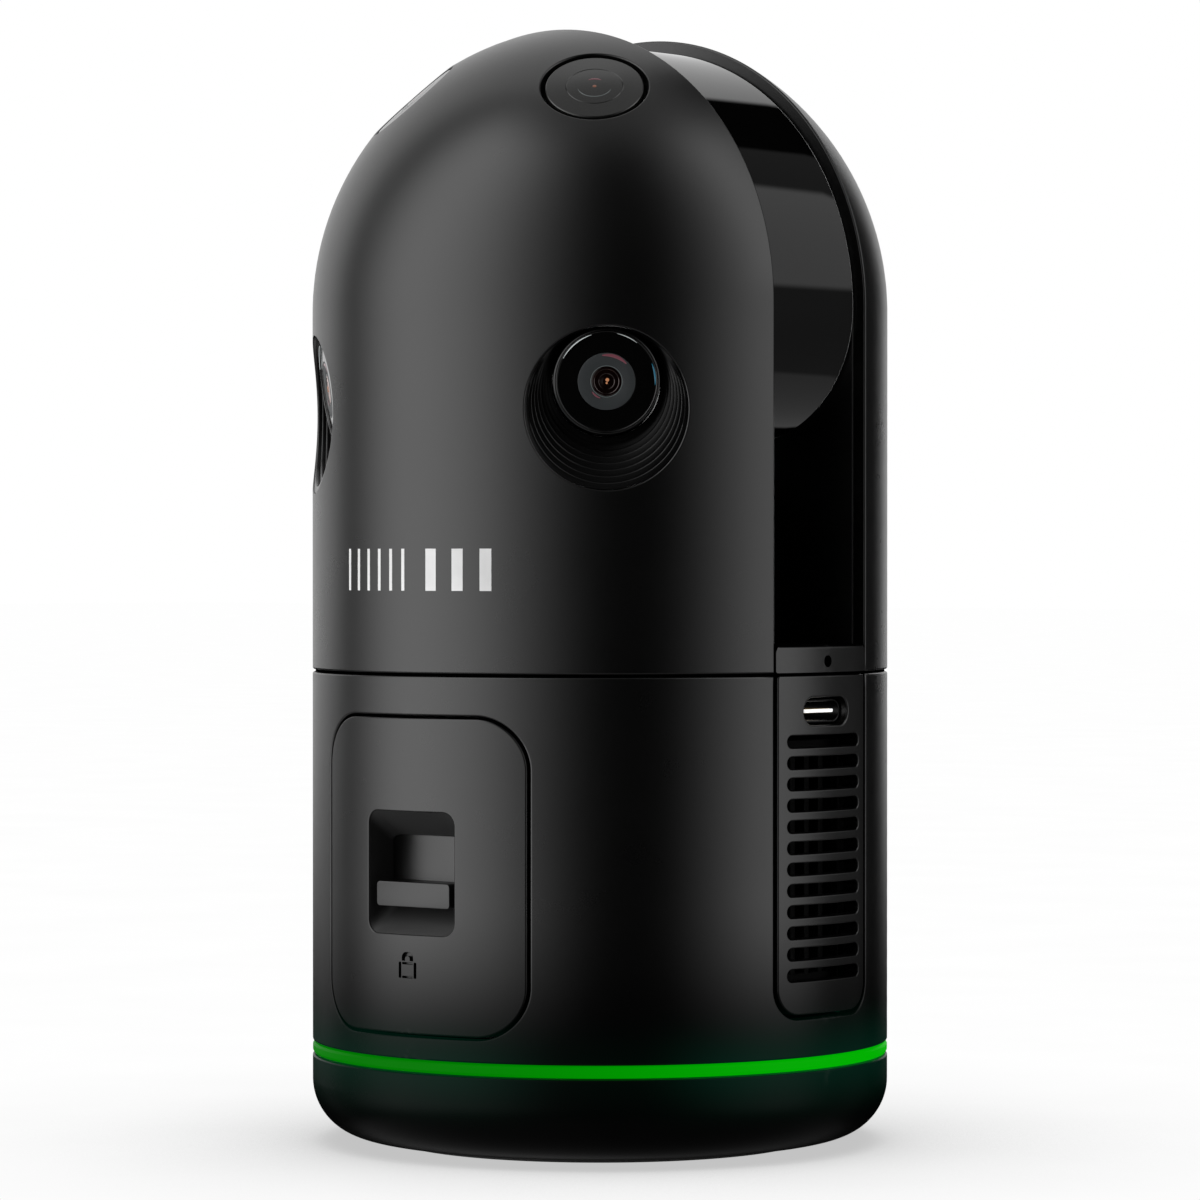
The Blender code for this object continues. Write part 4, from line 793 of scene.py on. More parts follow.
def build_battery_cover():
    corners = rectangle(COVER_HIGH.x, COVER_LOW.z, COVER_HIGH.z, DOOR_CORNER - DOOR_GAP)
    back = front_plane(COVER_HIGH.y)
    sheet = Sheet(cylinder(), back, pitch=1.8).rim(mapped(outline(corners), wrap(0)))
    mouth = hole(rectangle(GRIP_HALF, GRIP_LOW, GRIP_HIGH, GRIP_CORNER), step=1.0)
    scale_x = THROAT_HALF / GRIP_HALF
    throat = []
    for p, _ in mouth:
        share = (p.y - GRIP_LOW) / (GRIP_HIGH - GRIP_LOW)
        throat.append(Vector((p.x * scale_x, THROAT_Y, THROAT_LOW + share * (THROAT_HIGH - THROAT_LOW))))
    # The mouth's walls take the lighter copy of the black: painted light.
    sheet.rim(mapped(mouth, wrap(0)), edge=HOLE_EDGE, rings=(throat,), slot=1)
    rim = sheet.rims[-1]
    places = {tuple(round(c, 5) for c in sheet.at(q)): t for (q, _), t in zip(rim["path"], throat)}
    rim["back"] = lambda p: back(places[tuple(round(c, 5) for c in p)])
    for shape in padlock():
        path = mapped(hole(shape, step=0.6, arc_step=0.15), wrap(0))
        floor = [sheet.at(p, 0.5) for p, _ in path]
        sheet.rim(path, edge=0.06, rings=(floor,), floor=True)
    sheet.build("battery_cover_skin", "satin_black", "battery", "battery_cover", second="lit_recess_wall")


# ---------------------------------------------------------------- turned and boxed pieces
def turned(name, corners, material, steps=160, place=None):
    """A closed ring or disc: the outline (radius, height, corner radius) turned round Z."""
    bm = bmesh.new()
    rings = []
    for p, _ in outline(corners, step=50, arc_step=0.3):
        if p.x < 1e-6:
            rings.append([bm.verts.new((0, 0, p.y))])
            continue
        turns = [math.tau * k / steps for k in range(steps)]
        rings.append([bm.verts.new((p.x * math.cos(t), p.x * math.sin(t), p.y)) for t in turns])
    for a, b in zip(rings, rings[1:] + rings[:1]):
        if len(a) == 1 and len(b) == 1:
            continue
        for k in range(steps):
            after = (k + 1) % steps
            if len(a) == 1:
                bm.faces.new((a[0], b[k], b[after]))
            elif len(b) == 1:
                bm.faces.new((a[k], b[0], a[after]))
            else:
                bm.faces.new((a[k], b[k], b[after], a[after]))
    return bmesh_piece(name, bm, material, place)


def spun(name, corners, material, body, slot, *nodes, steps=160, place=None):
    """A turned piece, put on its body."""
    return register(turned(name, corners, material, steps, place), body, slot, *nodes)


def block(bm, low, high, bevel, segments):
    """A box with rounded edges inside an open bmesh."""
    made = bmesh.ops.create_cube(bm, size=1.0)["verts"]
    low, high = Vector(low), Vector(high)
    matrix = Matrix.Translation((low + high) / 2) @ Matrix.Diagonal((*(high - low), 1))
    bmesh.ops.transform(bm, matrix=matrix, verts=made)
    edges = {edge for vert in made for edge in vert.link_edges}
    bmesh.ops.bevel(bm, geom=list(edges), offset=bevel, segments=segments, profile=0.5,
                    affect="EDGES", clamp_overlap=True)


def drill(target, *tools, operation="DIFFERENCE"):
    """Cuts the tools from the target, or keeps what they share, and drops them."""
    target.modifiers.clear()
    for tool in tools:
        tool.modifiers.clear()
        cut = target.modifiers.new("cut", "BOOLEAN")
        cut.operation, cut.solver, cut.object = operation, "EXACT", tool
    graph = bpy.context.evaluated_depsgraph_get()
    mesh = bpy.data.meshes.new_from_object(target.evaluated_get(graph))
    target.modifiers.clear()
    target.data = mesh
    for tool in tools:
        bpy.data.objects.remove(tool)
    return smooth(target)


def peg(name, radius, low, high, place=None, steps=48):
    """A plain round tool for drill()."""
    corners = [(0, low, 0), (radius, low, 0), (radius, high, 0), (0, high, 0)]
    return turned(name, corners, "chip_black", steps, place)


def build_foot():
    """Foot cover, rubber ring, light ring and the seal in the seam, a dark ring that reflects nothing: painted
    shade for the gap.
    """
    out, low, top, wall = BODY_R, FOOT_LOW.z, FOOT_HIGH.z, 2.4
    bore, boss, boss_top, screw_circle = 15.6, 17.0, 7.0, 21.5
    cover = turned("bottom_cover_skin", [
        (bore, low, 0.3), (out, low, FOOT_FILLET), (out, top, 0.25), (out - wall, top, 0.2),
        (out - wall, low + 2.2, 5.5), (boss, low + 2.2, 0.3), (boss, boss_top, 0.2), (bore, boss_top, 0.2),
    ], "satin_black", 192)
    holes = []
    for k in range(4):
        turn = math.radians(45 + 90 * k)
        place = Matrix.Translation((screw_circle * math.cos(turn), screw_circle * math.sin(turn), 0))
        holes.append(peg(f"drill_{k}", 2.1, -1, 8, place))
    register(drill(cover, *holes), "base", "satin_black", "bottom_cover")

    low, high = span("foot_ring")
    inner, outer = 24.3, high.x
    corners = [(inner, low.z, 0.35)]
    for r in (25.4, 26.3, 27.2, 28.0):
        corners += [(r - 0.18, low.z, 0.05), (r - 0.1, low.z + 0.22, 0.05), (r + 0.1, low.z + 0.22, 0.05),
                    (r + 0.18, low.z, 0.05)]
    corners += [(outer, low.z, 0.35), (outer, high.z, 0.2), (inner, high.z, 0.2)]
    spun("foot_ring_skin", corners, "soft_rubber", "base", "soft_rubber", "foot_ring")

    low, high, inner, shown = RING_LOW.z, RING_HIGH.z, 36.4, BODY_R - 0.02
    spun("light_ring_skin", [
        (inner, low, 0.2), (BODY_R - 0.25, low, 0.2), (shown, low + 0.35, 0.3), (shown, high - 0.35, 0.3),
        (BODY_R - 0.25, high, 0.2), (inner, high, 0.2)],
        "ring_light", "base", "ring_light", "light_ring", steps=192)

    low, high, inner, outer, lip = 63.4, 66.0, 36.6, 37.3, 39.6
    lip_low, lip_high = SEAM_MIDDLE - 0.16, SEAM_MIDDLE + 0.16
    # A dark ring that reflects nothing fills the seam: painted shade for the gap.
    spun("seam_shade_ring", [
        (inner, low, 0.1), (outer, low, 0.1), (outer, lip_low, 0), (lip, lip_low, 0.05),
        (lip, lip_high, 0.05), (outer, lip_high, 0), (outer, high, 0.25), (inner, high, 0.25)],
        "seam_shade_black", "base", "soft_rubber")


def build_tripod_socket():
    """Steel plate with two pin holes, brass bush with a thread, and the four foot screws."""
    low, high = span("tripod_plate")
    bore, neck, flange_z, pin_x = 5.15, 15.0, 7.4, 10.5
    plate = turned("tripod_plate_skin", [
        (bore, low.z, 0.15), (neck, low.z, 0.4), (neck, flange_z, 0), (high.x, flange_z, 0.2),
        (high.x, high.z, 0.2), (bore, high.z, 0.1)], "steel", 128)
    pins = [peg(f"pin_{sign}", 1.5, 3.0, 8.0, Matrix.Translation((pin_x * sign, 0, 0))) for sign in (-1, 1)]
    register(drill(plate, *pins), "base", "steel", "tripod_plate")

    low, high = span("tripod_bush")
    count, crest, root, outer = 6, 2.95, 2.6, 4.95
    pitch = (high.z - low.z - 0.8) / count
    corners = [(3.2, low.z, 0), (outer, low.z, 0.2), (outer, high.z, 0.2), (3.2, high.z, 0)]
    for k in range(count):
        z = high.z - 0.4 - k * pitch
        corners += [(crest, z - 0.05, 0), (root, z - pitch / 2, 0.05)]
    corners.append((crest, low.z + 0.35, 0))
    spun("tripod_bush_skin", corners, "brass", "base", "brass", "tripod_bush", steps=96)

    for k in range(4):
        node = f"bottom_screw_{k + 1}"
        low, high = span(node)
        centre = (low + high) / 2
        place = Matrix.Translation((centre.x, centre.y, 0))
        screw = turned(node + "_skin", [
            (0, low.z, 0), (1.7, low.z, 0.3), (1.7, low.z + 1.2, 0.1), (1.0, low.z + 1.2, 0.1),
            (1.0, high.z - 0.4, 0.1), (0.7, high.z, 0), (0, high.z, 0)], "steel", 48, place)
        key = peg(f"key_{k}", 0.85, low.z - 1, low.z + 0.75, place, steps=6)
        register(drill(screw, key), "base", "steel", node)


def loft(name, rings, material, place=None, angle=32, ends=True):
    """Skin over rings of equal length, in order; without ends, the last ring joins the first."""
    bm = bmesh.new()
    made = [[bm.verts.new(p) for p in ring] for ring in rings]
    for a, b in zip(made, made[1:] + (made[:1] if not ends else [])):
        for k in range(len(a)):
            after = (k + 1) % len(a)
            bm.faces.new((a[k], a[after], b[after], b[k]))
    if ends:
        bm.faces.new(made[0])
        bm.faces.new(made[-1])
    return bmesh_piece(name, bm, material, place, angle)


def build_slot_floor():
    """The deck that carries the towers; its strip fills the bottom of the slot."""
    reach, half, spare, edge = DECK_HIGH.x, SLOT_HALF - 0.25, 2, 0.5
    low, high = SEAM_HIGH + 0.05, DECK_HIGH.z
    section = outline([(-half, low, 0.3), (half, low, 0.3), (half, high, 1.1), (-half, high, 1.1)],
                      step=0.8, arc_step=0.12)
    ends = [[(x, p.x, p.y) for p, _ in section] for x in (-BODY_R - spare, BODY_R + spare)]
    strip = loft("slot_floor_skin", ends, "strip_black", angle=24)
    round_end = turned("strip_end", [
        (0, low - 1, 0), (reach, low - 1, 0), (reach, high - edge, 0),
        (reach - edge * 0.13, high - edge / 2, 0), (reach - edge / 2, high - edge * 0.13, 0),
        (reach - edge, high, 0), (reach - edge, high + 1, 0), (0, high + 1, 0)], "strip_black", 360)
    drill(strip, round_end, operation="INTERSECT")
    corners = [(0, -2, 0), (0.8, -2, 0), (0.8, -0.12, 0), (0.92, 2, 0), (0, 2, 0)]
    index = turned("index_hole", corners, "strip_black", 48, facing((reach, 0, INDEX_Z), (1, 0, 0)))
    register(drill(strip, index), "head", SLOT_OF["head_deck"], "head_deck")
    inner, outer, low, high = 10.2, 37.4, 66.2, 68.2
    corners = [(inner, low, 0.1), (outer, low, 0.2), (outer, high, 0.2), (inner, high, 0.1)]
    spun("head_deck_disc", corners, "black_plastic", "head", "black_plastic", steps=128)


# ---------------------------------------------------------------- window
def window_curve():
    """(centre, radius, angle) along the glass, from one sill over the dome to the other."""
    outer, small = GLASS_HIGH.x, DOME_Z - GLASS_LOW.z
    dome = Vector((0, 0, DOME_Z))
    sill = Vector((outer - small, 0, 0))
    curve = [(dome + sill, small, math.radians(-90 + 90 * k / 24)) for k in range(24)]
    curve += [(dome, outer, math.radians(180 * k / 120)) for k in range(121)]
    return curve + [(dome - sill, small, math.radians(180 + 90 * k / 24)) for k in range(1, 25)]


def build_window():
    half, thick = GLASS_HIGH.y, 1.5
    section = outline(rectangle(half, -thick, 0, 0.35), step=2.2, arc_step=0.12)
    rings = []
    for centre, radius, turn in window_curve():
        out = Vector((math.cos(turn), 0, math.sin(turn)))
        rings.append([centre + out * (radius + p.y) + Vector((0, p.x, 0)) for p, _ in section])
    glass = loft("window_glass_skin", rings, "dark_glass", angle=40)
    register(glass, "head", "dark_glass", "window_glass")


# ---------------------------------------------------------------- cameras
def build_scoop(side, sign):
    """Stepped eccentric rings that run from the rim in the shell down to the lens barrel."""
    outward = side_direction(sign)
    across = Vector((0, 0, 1)).cross(outward)
    steps, count, top, deep = 8, 144, 0.25, 4.6
    inner_r, back = BARREL_R + 0.12, 7.5
    width = (SCOOP_R - inner_r + LENS_Z - SCOOP_Z) / steps
    nose = 0.14

    def ring(share, depth):
        """share 0 is the rim and 1 the barrel; depth sinks the ring."""
        centre_z = SCOOP_Z + (LENS_Z - SCOOP_Z) * share
        radius = SCOOP_R + (inner_r - SCOOP_R) * share
        made = []
        for k in range(count):
            turn = math.tau * k / count
            sideways, z = radius * math.cos(turn), centre_z + radius * math.sin(turn)
            wall = math.sqrt(BODY_R ** 2 - sideways ** 2)
            reach = wall + (LENS_OUT + 0.2 - wall) * share - depth
            made.append(outward * reach + across * sideways + Vector((0, 0, z)))
        return made

    rings = []
    for k in range(steps):
        sunk = top + deep * k / steps
        edge = (k + 1) / steps
        rings.append(ring(k / steps, sunk))
        for j in range(4):
            turn = math.radians(30 * j)
            away, down = nose * (1 - math.sin(turn)), nose * (1 - math.cos(turn))
            rings.append(ring(edge - away / (width * steps), sunk + down))
    rings.append(ring(1.0, back))
    rings.append(ring(0.0, back))
    scoop = loft(f"camera_scoop_{side}_skin", rings, "scoop_black", angle=40, ends=False)
    register(scoop, "head", "black_plastic", f"camera_scoop_{side}")


def crescent(name, place, radius, width, start, end, material):
    """A thin curved sliver that glows, tapering to both ends; angles in degrees. The slivers are painted
    reflections in the lens coatings and painted highlights of the studio.
    """
    steps, lift = 36, 0.03
    section = ((-1, 0), (-0.5, lift), (0.5, lift), (1, 0), (0.5, -lift), (-0.5, -lift))
    rows = []
    for k in range(steps + 1):
        turn = math.radians(start + (end - start) * k / steps)
        half = width / 2 * math.sin(math.pi * (0.03 + 0.94 * k / steps)) ** 0.6
        out = Vector((math.cos(turn), math.sin(turn), 0))
        rows.append([out * (radius + s * half) + Vector((0, 0, z)) for s, z in section])
    register(loft(name, rows, material, place), "head", "lens_glass")


def spark(name, place, radius, shoulder, thick, height, material):
    """A small round painted highlight that glows; shoulder is the radius where its flat top begins."""
    corners = [(0, -thick, 0), (radius, -thick, 0), (shoulder, 0.02, 0.02), (0, height, 0)]
    spun(name, corners, material, "head", "lens_glass", steps=24, place=place)


# name, look, slot, whether it stands for a CAD node, steps round, corners
LENS = [
    ("barrel", "scoop_black", "black_plastic", True, 128, [
        (0, -10.8, 0), (5.6, -10.8, 0.3), (5.6, -7.0, 0), (BARREL_R, -7.0, 0.2), (BARREL_R, 0, 0.3),
        (LENS_R + 0.18, 0, 0.06), (LENS_R + 0.18, -1.0, 0), (0, -1.0, 0)]),
    ("bezel", "bezel_black", "black_plastic", False, 160, [
        (LENS_R - 0.02, -0.8, 0), (LENS_R + 0.12, -0.8, 0), (LENS_R + 0.12, -0.04, 0.06),
        (LENS_R - 0.02, -0.04, 0.06)]),
    ("glass", "lens_glass", "lens_glass", True, 128, [
        (0, -0.9, 0), (LENS_R - 0.06, -0.9, 0), (LENS_R - 0.06, -0.16, 0.08), (3.95, -0.12, 0),
        (3.9, -0.3, 0.05), (0, -0.3, 0)]),
    ("ring", "ring_grey", "lens_glass", False, 96, [
        (2.15, -0.3, 0), (3.8, -0.3, 0), (3.8, -0.14, 0.06), (3.0, -0.17, 0), (2.2, -0.22, 0.05)]),
    # Painted reflection: a thin ring in the lens that glows.
    ("inner_ring_glint", "cool_glint", "lens_glass", False, 96, [
        (2.02, -0.3, 0), (2.14, -0.3, 0), (2.14, -0.2, 0.04), (2.02, -0.2, 0.04)]),
    ("pupil", "pupil", "lens_glass", False, 64, [
        (0, -0.32, 0), (2.0, -0.32, 0), (2.0, -0.26, 0.03), (1.65, -0.22, 0.05), (1.6, -0.27, 0.03),
        (1.05, -0.2, 0.2), (1.0, -0.25, 0.03), (0.5, -0.18, 0.2), (0, -0.16, 0)]),
]
# Glowing slivers: painted reflections in the lens coatings (rose, teal) and painted highlights (white).
# name, height in the lens, radius, width, from and to in degrees, look
GLINTS = [
    ("rose_reflection", -0.13, 3.5, 0.44, 100, 42, "rose_glint"),
    ("low_rose_reflection", -0.13, 2.35, 0.22, 250, 215, "rose_glint"),
    ("teal_reflection", -0.06, 6.42, 0.2, 22, -4, "teal_glint"),
    ("glint_upper", -0.03, 6.5, 0.13, 152, 108, "white_glint"),
    ("glint_far", -0.03, 6.5, 0.08, 78, 52, "white_glint"),
]


def build_side_camera(side, sign):
    build_scoop(side, sign)
    outward, up = side_direction(sign), Vector((0, 0, 1))
    tilted = outward * math.cos(LENS_TILT) - up * math.sin(LENS_TILT)
    place = facing(outward * LENS_OUT + up * LENS_Z, tilted)
    for name, look, slot, in_cad, steps, corners in LENS:
        node = f"camera_{name}_{side}"
        if in_cad:
            spun(node + "_skin", corners, look, "head", slot, node, steps=steps, place=place)
        else:
            spun(node, corners, look, "head", slot, steps=steps, place=place)
    # Glowing slivers and sparks: painted reflections and painted highlights in the lens.
    for name, height, radius, width, start, end, look in GLINTS:
        level = place @ Matrix.Translation((0, 0, height))
        crescent(f"camera_{name}_{side}", level, radius, width, start, end, look)
    for name, x, y, radius in (("spark", 0.1, 0.22, 0.24), ("spark_low", 0.02, -0.2, 0.14)):
        centre = place @ Matrix.Translation((x, y, -0.13))
        spark(f"camera_{name}_{side}", centre, radius, radius * 0.9, 0.04, 0.05, "amber_glint")


def build_sky_camera(side, sign):
    outward = sky_direction(sign)
    place = facing(Vector((0, 0, DOME_Z)) + outward * SKY_OUT, outward)
    spun(f"sky_window_{side}_skin", [
        (0, -1.0, 0), (SKY_R, -1.0, 0), (SKY_R, -0.1, 0.22), (3.9, 0.02, 0), (3.82, -0.03, 0.03),
        (3.74, 0.03, 0.03), (0, 0.04, 0)],
        "sky_glass", "head", "lens_glass", f"sky_window_{side}", steps=144, place=place)
    inner, outer, low, high = SKY_R + 0.03, SKY_HOLE_R + 0.4, -2.2, -1.9
    spun(f"sky_seat_{side}", [(inner, low, 0), (outer, low, 0.1), (outer, high, 0.1), (inner, high, 0)],
         "anodised_black", "head", "black_plastic", steps=96, place=place)
    # Painted reflections and a painted highlight in the sky lens: glowing slivers and a spark.
    level = place @ Matrix.Translation((0, 0, 0.03))
    crescent(f"sky_cool_reflection_{side}", level, 2.3, 0.2, 195, 345, "cool_glint")
    crescent(f"sky_coating_rose_{side}", level, 1.62, 0.32, 122, 58, "rose_glint")
    spark(f"sky_spark_{side}", level, 0.3, 0.26, 0.03, 0.04, "ember_glint")


# ---------------------------------------------------------------- port, button, fan
def boxes(name, material, slot, sizes, body="base"):
    """Bevelled boxes as one piece; sizes are (low, high, bevel, segments)."""
    bm = bmesh.new()
    for low, high, bevel, segments in sizes:
        block(bm, low, high, bevel, segments)
    register(bmesh_piece(name, bm, material), body, slot)


def build_port():
    """The shell of a small connector with a rolled lip, and the tongue with its contacts in it."""
    low, high = PORT_LOW.x, PORT_HIGH.x
    half_w, half_h, wall = PORT_W / 2 + 0.3, PORT_H / 2 + 0.3, 0.3
    sheet = Sheet(lambda u, v, depth: Vector((high - depth, u, v)),
                  lambda p: Vector((low, p.y, p.z)), pitch=1.0)
    for side, inset in ((outline, 0), (hole, wall)):
        w, h = half_w - inset, half_h - inset
        sheet.rim(side(rectangle(w, PORT_Z - h, PORT_Z + h, h - 0.005), arc_step=0.2), edge=0.12)
    sheet.build("usb_port_shell", "port_black", "base", "usb_port")
    # The tongue glows: painted light, so that it reads pale.
    boxes("usb_port_tongue", "glowing_pale_plastic", "steel", [
        ((low, -3.0, PORT_Z - 0.22), (high - 0.15, 3.1, PORT_Z + 0.22), 0.1, 3)])
    w, h = half_w - 0.1, half_h - 0.1
    boxes("usb_port_back", "black_plastic", "steel", [
        ((low - 0.2, -w, PORT_Z - h), (low + 0.8, w, PORT_Z + h), 0.2, 3)])
    contacts = []
    for z in (PORT_Z - 0.24, PORT_Z + 0.24):
        for k in range(12):
            y = -2.75 + 0.5 * k
            contacts.append(((high - 5.0, y - 0.12, z - 0.04), (high - 0.6, y + 0.12, z + 0.04), 0.02, 1))
    boxes("usb_port_contacts", "brass", "steel", contacts)


def build_button():
    low, high = span("power_button")
    place = facing((low.x, 0, BUTTON_Z), (-1, 0, 0))
    depth = high.x - low.x
    spun("power_button_skin", [
        (0, -depth, 0), (1.6, -depth, 0.2), (1.6, -3.2, 0.1), (BUTTON_R, -3.2, 0.2), (BUTTON_R, 0, 0.45),
        (2.9, -0.02, 0.3), (2.75, -0.22, 0.1), (2.45, -0.22, 0.1), (2.3, -0.12, 0.2), (0, -0.2, 0)],
        "black_plastic", "button", "black_plastic", "power_button", steps=96, place=place)


def build_fan():
    """A hub with seven twisted blades."""
    low, high = span("fan_rotor")
    hub, tip, blades, last, half_skin = 5.6, 13.2, 7, 8, 0.35
    thick = high.x - low.x
    place = facing((high.x, 0, FAN_Z), (1, 0, 0))
    border = [(0, j) for j in range(last)] + [(i, last) for i in range(last)]
    border += [(last, j) for j in range(last, 0, -1)] + [(i, 0) for i in range(last, 0, -1)]
    bm = bmesh.new()
    for k in range(blades):
        turn = Matrix.Rotation(math.tau * k / blades, 4, "Z")
        rows = []
        for i in range(last + 1):
            share = i / last
            r = hub - 0.4 + (tip - hub + 0.4) * share
            pitch, sweep = math.radians(52 - 24 * share), 0.25 * share
            half = 3.4 + 1.0 * share
            row = []
            for j in range(last + 1):
                s = -1 + 2 * j / last
                rise = min(thick / 2 - 0.5, half * math.sin(pitch))
                z = -thick / 2 + rise * s * 0.9 + 0.4 * (1 - s * s)
                angle = s * half * math.cos(pitch) / r + sweep
                row.append(turn @ Vector((r * math.cos(angle), r * math.sin(angle), z)))
            rows.append(row)
        upper, lower = ([[bm.verts.new(p + Vector((0, 0, offset))) for p in row] for row in rows]
                        for offset in (half_skin, -half_skin))
        for grid in (upper, lower):
            for a, b in zip(grid, grid[1:]):
                for j in range(last):
                    bm.faces.new((a[j], a[j + 1], b[j + 1], b[j]))
        for (i, j), (m, n) in zip(border, border[1:] + border[:1]):
            bm.faces.new((upper[i][j], upper[m][n], lower[m][n], lower[i][j]))
    rotor = bmesh_piece("fan_rotor_blades", bm, "black_plastic", place)
    register(rotor, "fan", "black_plastic", "fan_rotor")
    spun("fan_rotor_hub", [
        (1.0, -thick + 0.3, 0.1), (hub, -thick + 0.3, 0.3), (hub, 0, 0.8), (2.2, 0, 0.2), (2.0, -0.3, 0.1),
        (1.0, -0.3, 0)], "chip_black", "fan", "black_plastic", steps=72, place=place)


def board_parts(name, node, chips, seed):
    """Chips on the front of a circuit board, placed by a small fixed generator."""
    low, high = span(node)
    state, sizes = seed, []

    def draw():
        nonlocal state
        state = (state * 1103515245 + 12345) % 2 ** 31
        return state

    for _ in range(chips):
        across = 0.14 + 0.72 * ((draw() >> 8) % 1000) / 1000
        up = 0.18 + 0.64 * ((draw() >> 8) % 1000) / 1000
        half = 0.8 + 2.0 * ((state >> 12) % 100) / 100
        centre = Vector((low.x + across * (high.x - low.x), low.y, low.z + up * (high.z - low.z)))
        front, back = Vector((half, 0.9, half * 0.8)), Vector((half, -0.02, half * 0.8))
        sizes.append((centre - front, centre + back, 0.12, 2))
    boxes(name, "chip_black", "circuit_board", sizes, BODY_OF[node])


# ---------------------------------------------------------------- CAD nodes that stay
OTHER_LOOKS = {"heat_sink": "anodised_black", "centre_pillar": "slot_black", "front_cheek": "slot_black",
               "rear_cheek": "slot_black", "battery_latch": "recess_black"}


def finish_cad_nodes():
    """The inner pieces keep their CAD shape, with rounded edges and a full material."""
    for node, obj in frame["nodes"].items():
        if obj.hide_render:
            continue
        obj.data.materials.clear()
        obj.data.materials.append(MATERIALS[OTHER_LOOKS.get(node, SLOT_OF[node])])
        weld = obj.modifiers.new("weld", "WELD")
        weld.merge_threshold = 1e-6
        bevel = obj.modifiers.new("round", "BEVEL")
        low, high = span(node)
        bevel.width = min(0.25, min(high - low) * 0.12) * MM
        if node == "battery_latch":
            bevel.width = 0.4 * MM
        bevel.segments, bevel.limit_method, bevel.angle_limit = 3, "ANGLE", math.radians(30)
        bevel.harden_normals = True
        obj.data.shade_smooth()


# ---------------------------------------------------------------- studio
CAMERA_AWAY, CAMERA_HEIGHT, AIM_HEIGHT, LENS_MM = 0.700, 0.081, 0.0751, 150.6


def build_camera():
    data = bpy.data.cameras.new("camera")
    camera = bpy.data.objects.new("camera", data)
    bpy.context.scene.collection.objects.link(camera)
    x, y = math.sin(CAMERA_ANGLE), -math.cos(CAMERA_ANGLE)
    camera.location = (CAMERA_AWAY * x, CAMERA_AWAY * y, CAMERA_HEIGHT)
    look = Vector((0, 0, AIM_HEIGHT)) - camera.location
    camera.rotation_euler = look.to_track_quat("-Z", "Y").to_euler()
    data.sensor_width, data.lens = 36.0, LENS_MM
    data.clip_start, data.clip_end = 0.01, 20.0
    bpy.context.scene.camera = camera


def build_floor():
    """A pale plane that glows by itself, with a painted soft contact shadow, seen from above only."""
    bm = bmesh.new()
    bmesh.ops.create_grid(bm, x_segments=4, y_segments=4, size=6000)
    floor = bmesh_piece("floor", bm, "black_plastic")
    material = bpy.data.materials.new("floor")
    material.use_nodes = True
    nodes = Nodes(material.node_tree)
    place = nodes.add("TexCoord").outputs["Object"]
    shade = nodes.add("AmbientOcclusion", {"Distance": 0.09}, samples=8).outputs["AO"]
    paper = nodes.ramp(nodes.noise(place, 30.0, 3.0), 0.2, 0.8, 0.985, 1.0)
    light = nodes.math("MULTIPLY", nodes.ramp(shade, 0.3, 1.0, 0.55, 1.0), paper)
    seen = nodes.add("Emission", {"Color": (1, 1, 1, 1), "Strength": light}).outputs[0]
    behind = nodes.add("NewGeometry").outputs["Backfacing"]
    clear = nodes.add("BsdfTransparent").outputs[0]
    final = nodes.add("MixShader", {0: behind, 1: seen, 2: clear}).outputs[0]
    nodes.add("OutputMaterial", {"Surface": final})
    floor.visible_diffuse = floor.visible_glossy = floor.visible_transmission = floor.visible_shadow = False
    floor.data.materials.clear()
    floor.data.materials.append(material)


# brightness of the studio by the angle from the camera to its right, from the ground to well above
AROUND = [
    (-180, 0.0), (-150, 0.0), (-140, 0.12), (-130, 0.05), (-121, 0.05), (-110, 0.45), (-100, 1.4),
    (-91, 2.4), (-82, 2.8), (-70, 2.8), (-60, 2.6), (-46, 2.0), (-33, 1.05), (-20, 0.45), (-10, 0.12),
    (-3, 0.0), (2, 0.0), (20, 0.0), (30, 0.0), (37, 0.22), (48, 0.66), (62, 1.4), (72, 1.8), (82, 1.6),
    (90, 0.9), (97, 0.05), (103, 0.0), (180, 0.0),
]
AROUND_SCALE = 3.0
# softboxes: (from, to, blur) of that angle, (from, to, blur) elevation, strength
CARDS = [
    ((62, 117, 1.0), (7.7, 60, 1.0), 0.52),
    ((90, 130, 1.0), (-31, 80, 1.0), 0.10),
    ((154, 236, 1.5), (-3, 75, 2.0), 0.85),
    ((-190, -2, 4), (-95, -31, 1.0), 0.42),
    ((2, 190, 4), (-95, -31, 1.0), 0.24),
    ((-190, 190, 1), (68, 95, 10), 0.45),
]


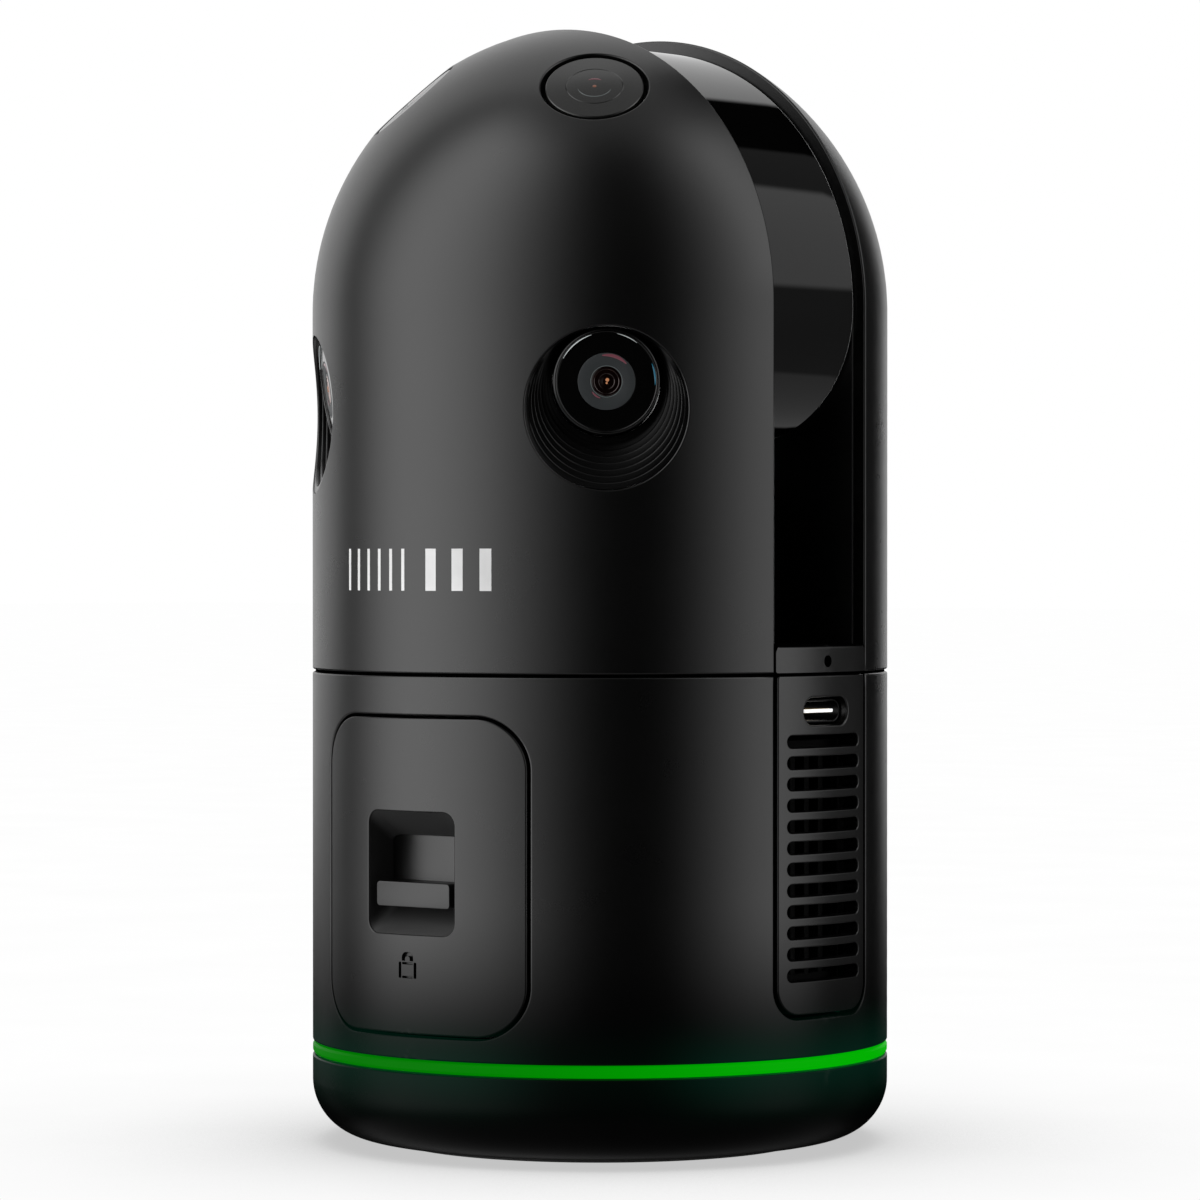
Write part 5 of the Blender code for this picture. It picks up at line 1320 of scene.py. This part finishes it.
def build_studio():
    """A white surround for the camera; soft cards for everything else."""
    world = bpy.data.worlds.new("studio")
    bpy.context.scene.world = world
    world.use_nodes = True
    nodes = Nodes(world.node_tree)
    direction = nodes.add("TexCoord").outputs["Generated"]
    ahead = level_direction(CAMERA_ANGLE)
    right = (math.cos(CAMERA_ANGLE), math.sin(CAMERA_ANGLE), 0)
    forward = nodes.add("VectorMath", {0: direction, 1: ahead}, operation="DOT_PRODUCT").outputs["Value"]
    sideways = nodes.add("VectorMath", {0: direction, 1: right}, operation="DOT_PRODUCT").outputs["Value"]
    up = nodes.part(direction, 2)
    turn = nodes.math("DEGREES", nodes.math("ARCTAN2", sideways, forward))
    turn_positive = nodes.math("WRAP", turn, 360.0, 0.0)
    lift = nodes.math("DEGREES", nodes.math("ARCSINE", up))

    def window(value, low, high, blur):
        rise = nodes.ramp(value, low - blur, low + blur)
        fall = nodes.ramp(value, high - blur, high + blur, 1.0, 0.0)
        return nodes.math("MULTIPLY", rise, fall)

    share = nodes.math("DIVIDE", nodes.math("ADD", turn, 180.0), 360.0)
    around = nodes.add("ValToRGB", {0: share})
    stops = around.color_ramp.elements
    for stop in AROUND[1:-1]:
        stops.new((stop[0] + 180) / 360)
    for element, (angle, strength) in zip(stops, AROUND):
        element.position = (angle + 180) / 360
        element.color = rgba(strength / AROUND_SCALE)
    level = nodes.math("MULTIPLY", around.outputs[0], AROUND_SCALE)
    total = nodes.math("MULTIPLY", level, window(lift, -22, 66, 9))
    for (low, high, blur), (bottom, top, soft), strength in CARDS:
        across = window(turn_positive if low > 0 and high > 190 else turn, low, high, blur)
        along = window(lift, bottom, top, soft)
        total = nodes.math("MULTIPLY_ADD", nodes.math("MULTIPLY", across, along), strength, total)
    studio = nodes.add("Background", {"Color": (1, 1, 1, 1), "Strength": total}).outputs[0]
    white = nodes.add("Background", {"Color": (1, 1, 1, 1), "Strength": 1.0}).outputs[0]
    rays = nodes.add("LightPath").outputs["Is Camera Ray"]
    surface = nodes.add("MixShader", {0: rays, 1: studio, 2: white}).outputs[0]
    nodes.add("OutputWorld", {"Surface": surface})
    bpy.context.scene.view_settings.view_transform = "Standard"


build_towers()
build_housing()
build_side_panels()
build_battery_cover()
build_foot()
build_tripod_socket()
build_slot_floor()
build_window()
for side, sign in (("left", -1), ("right", 1)):
    build_side_camera(side, sign)
    build_sky_camera(side, sign)
build_port()
build_button()
build_fan()
board_parts("main_board_parts", "main_board", chips=16, seed=7)
finish_cad_nodes()
build_floor()
build_studio()
build_camera()
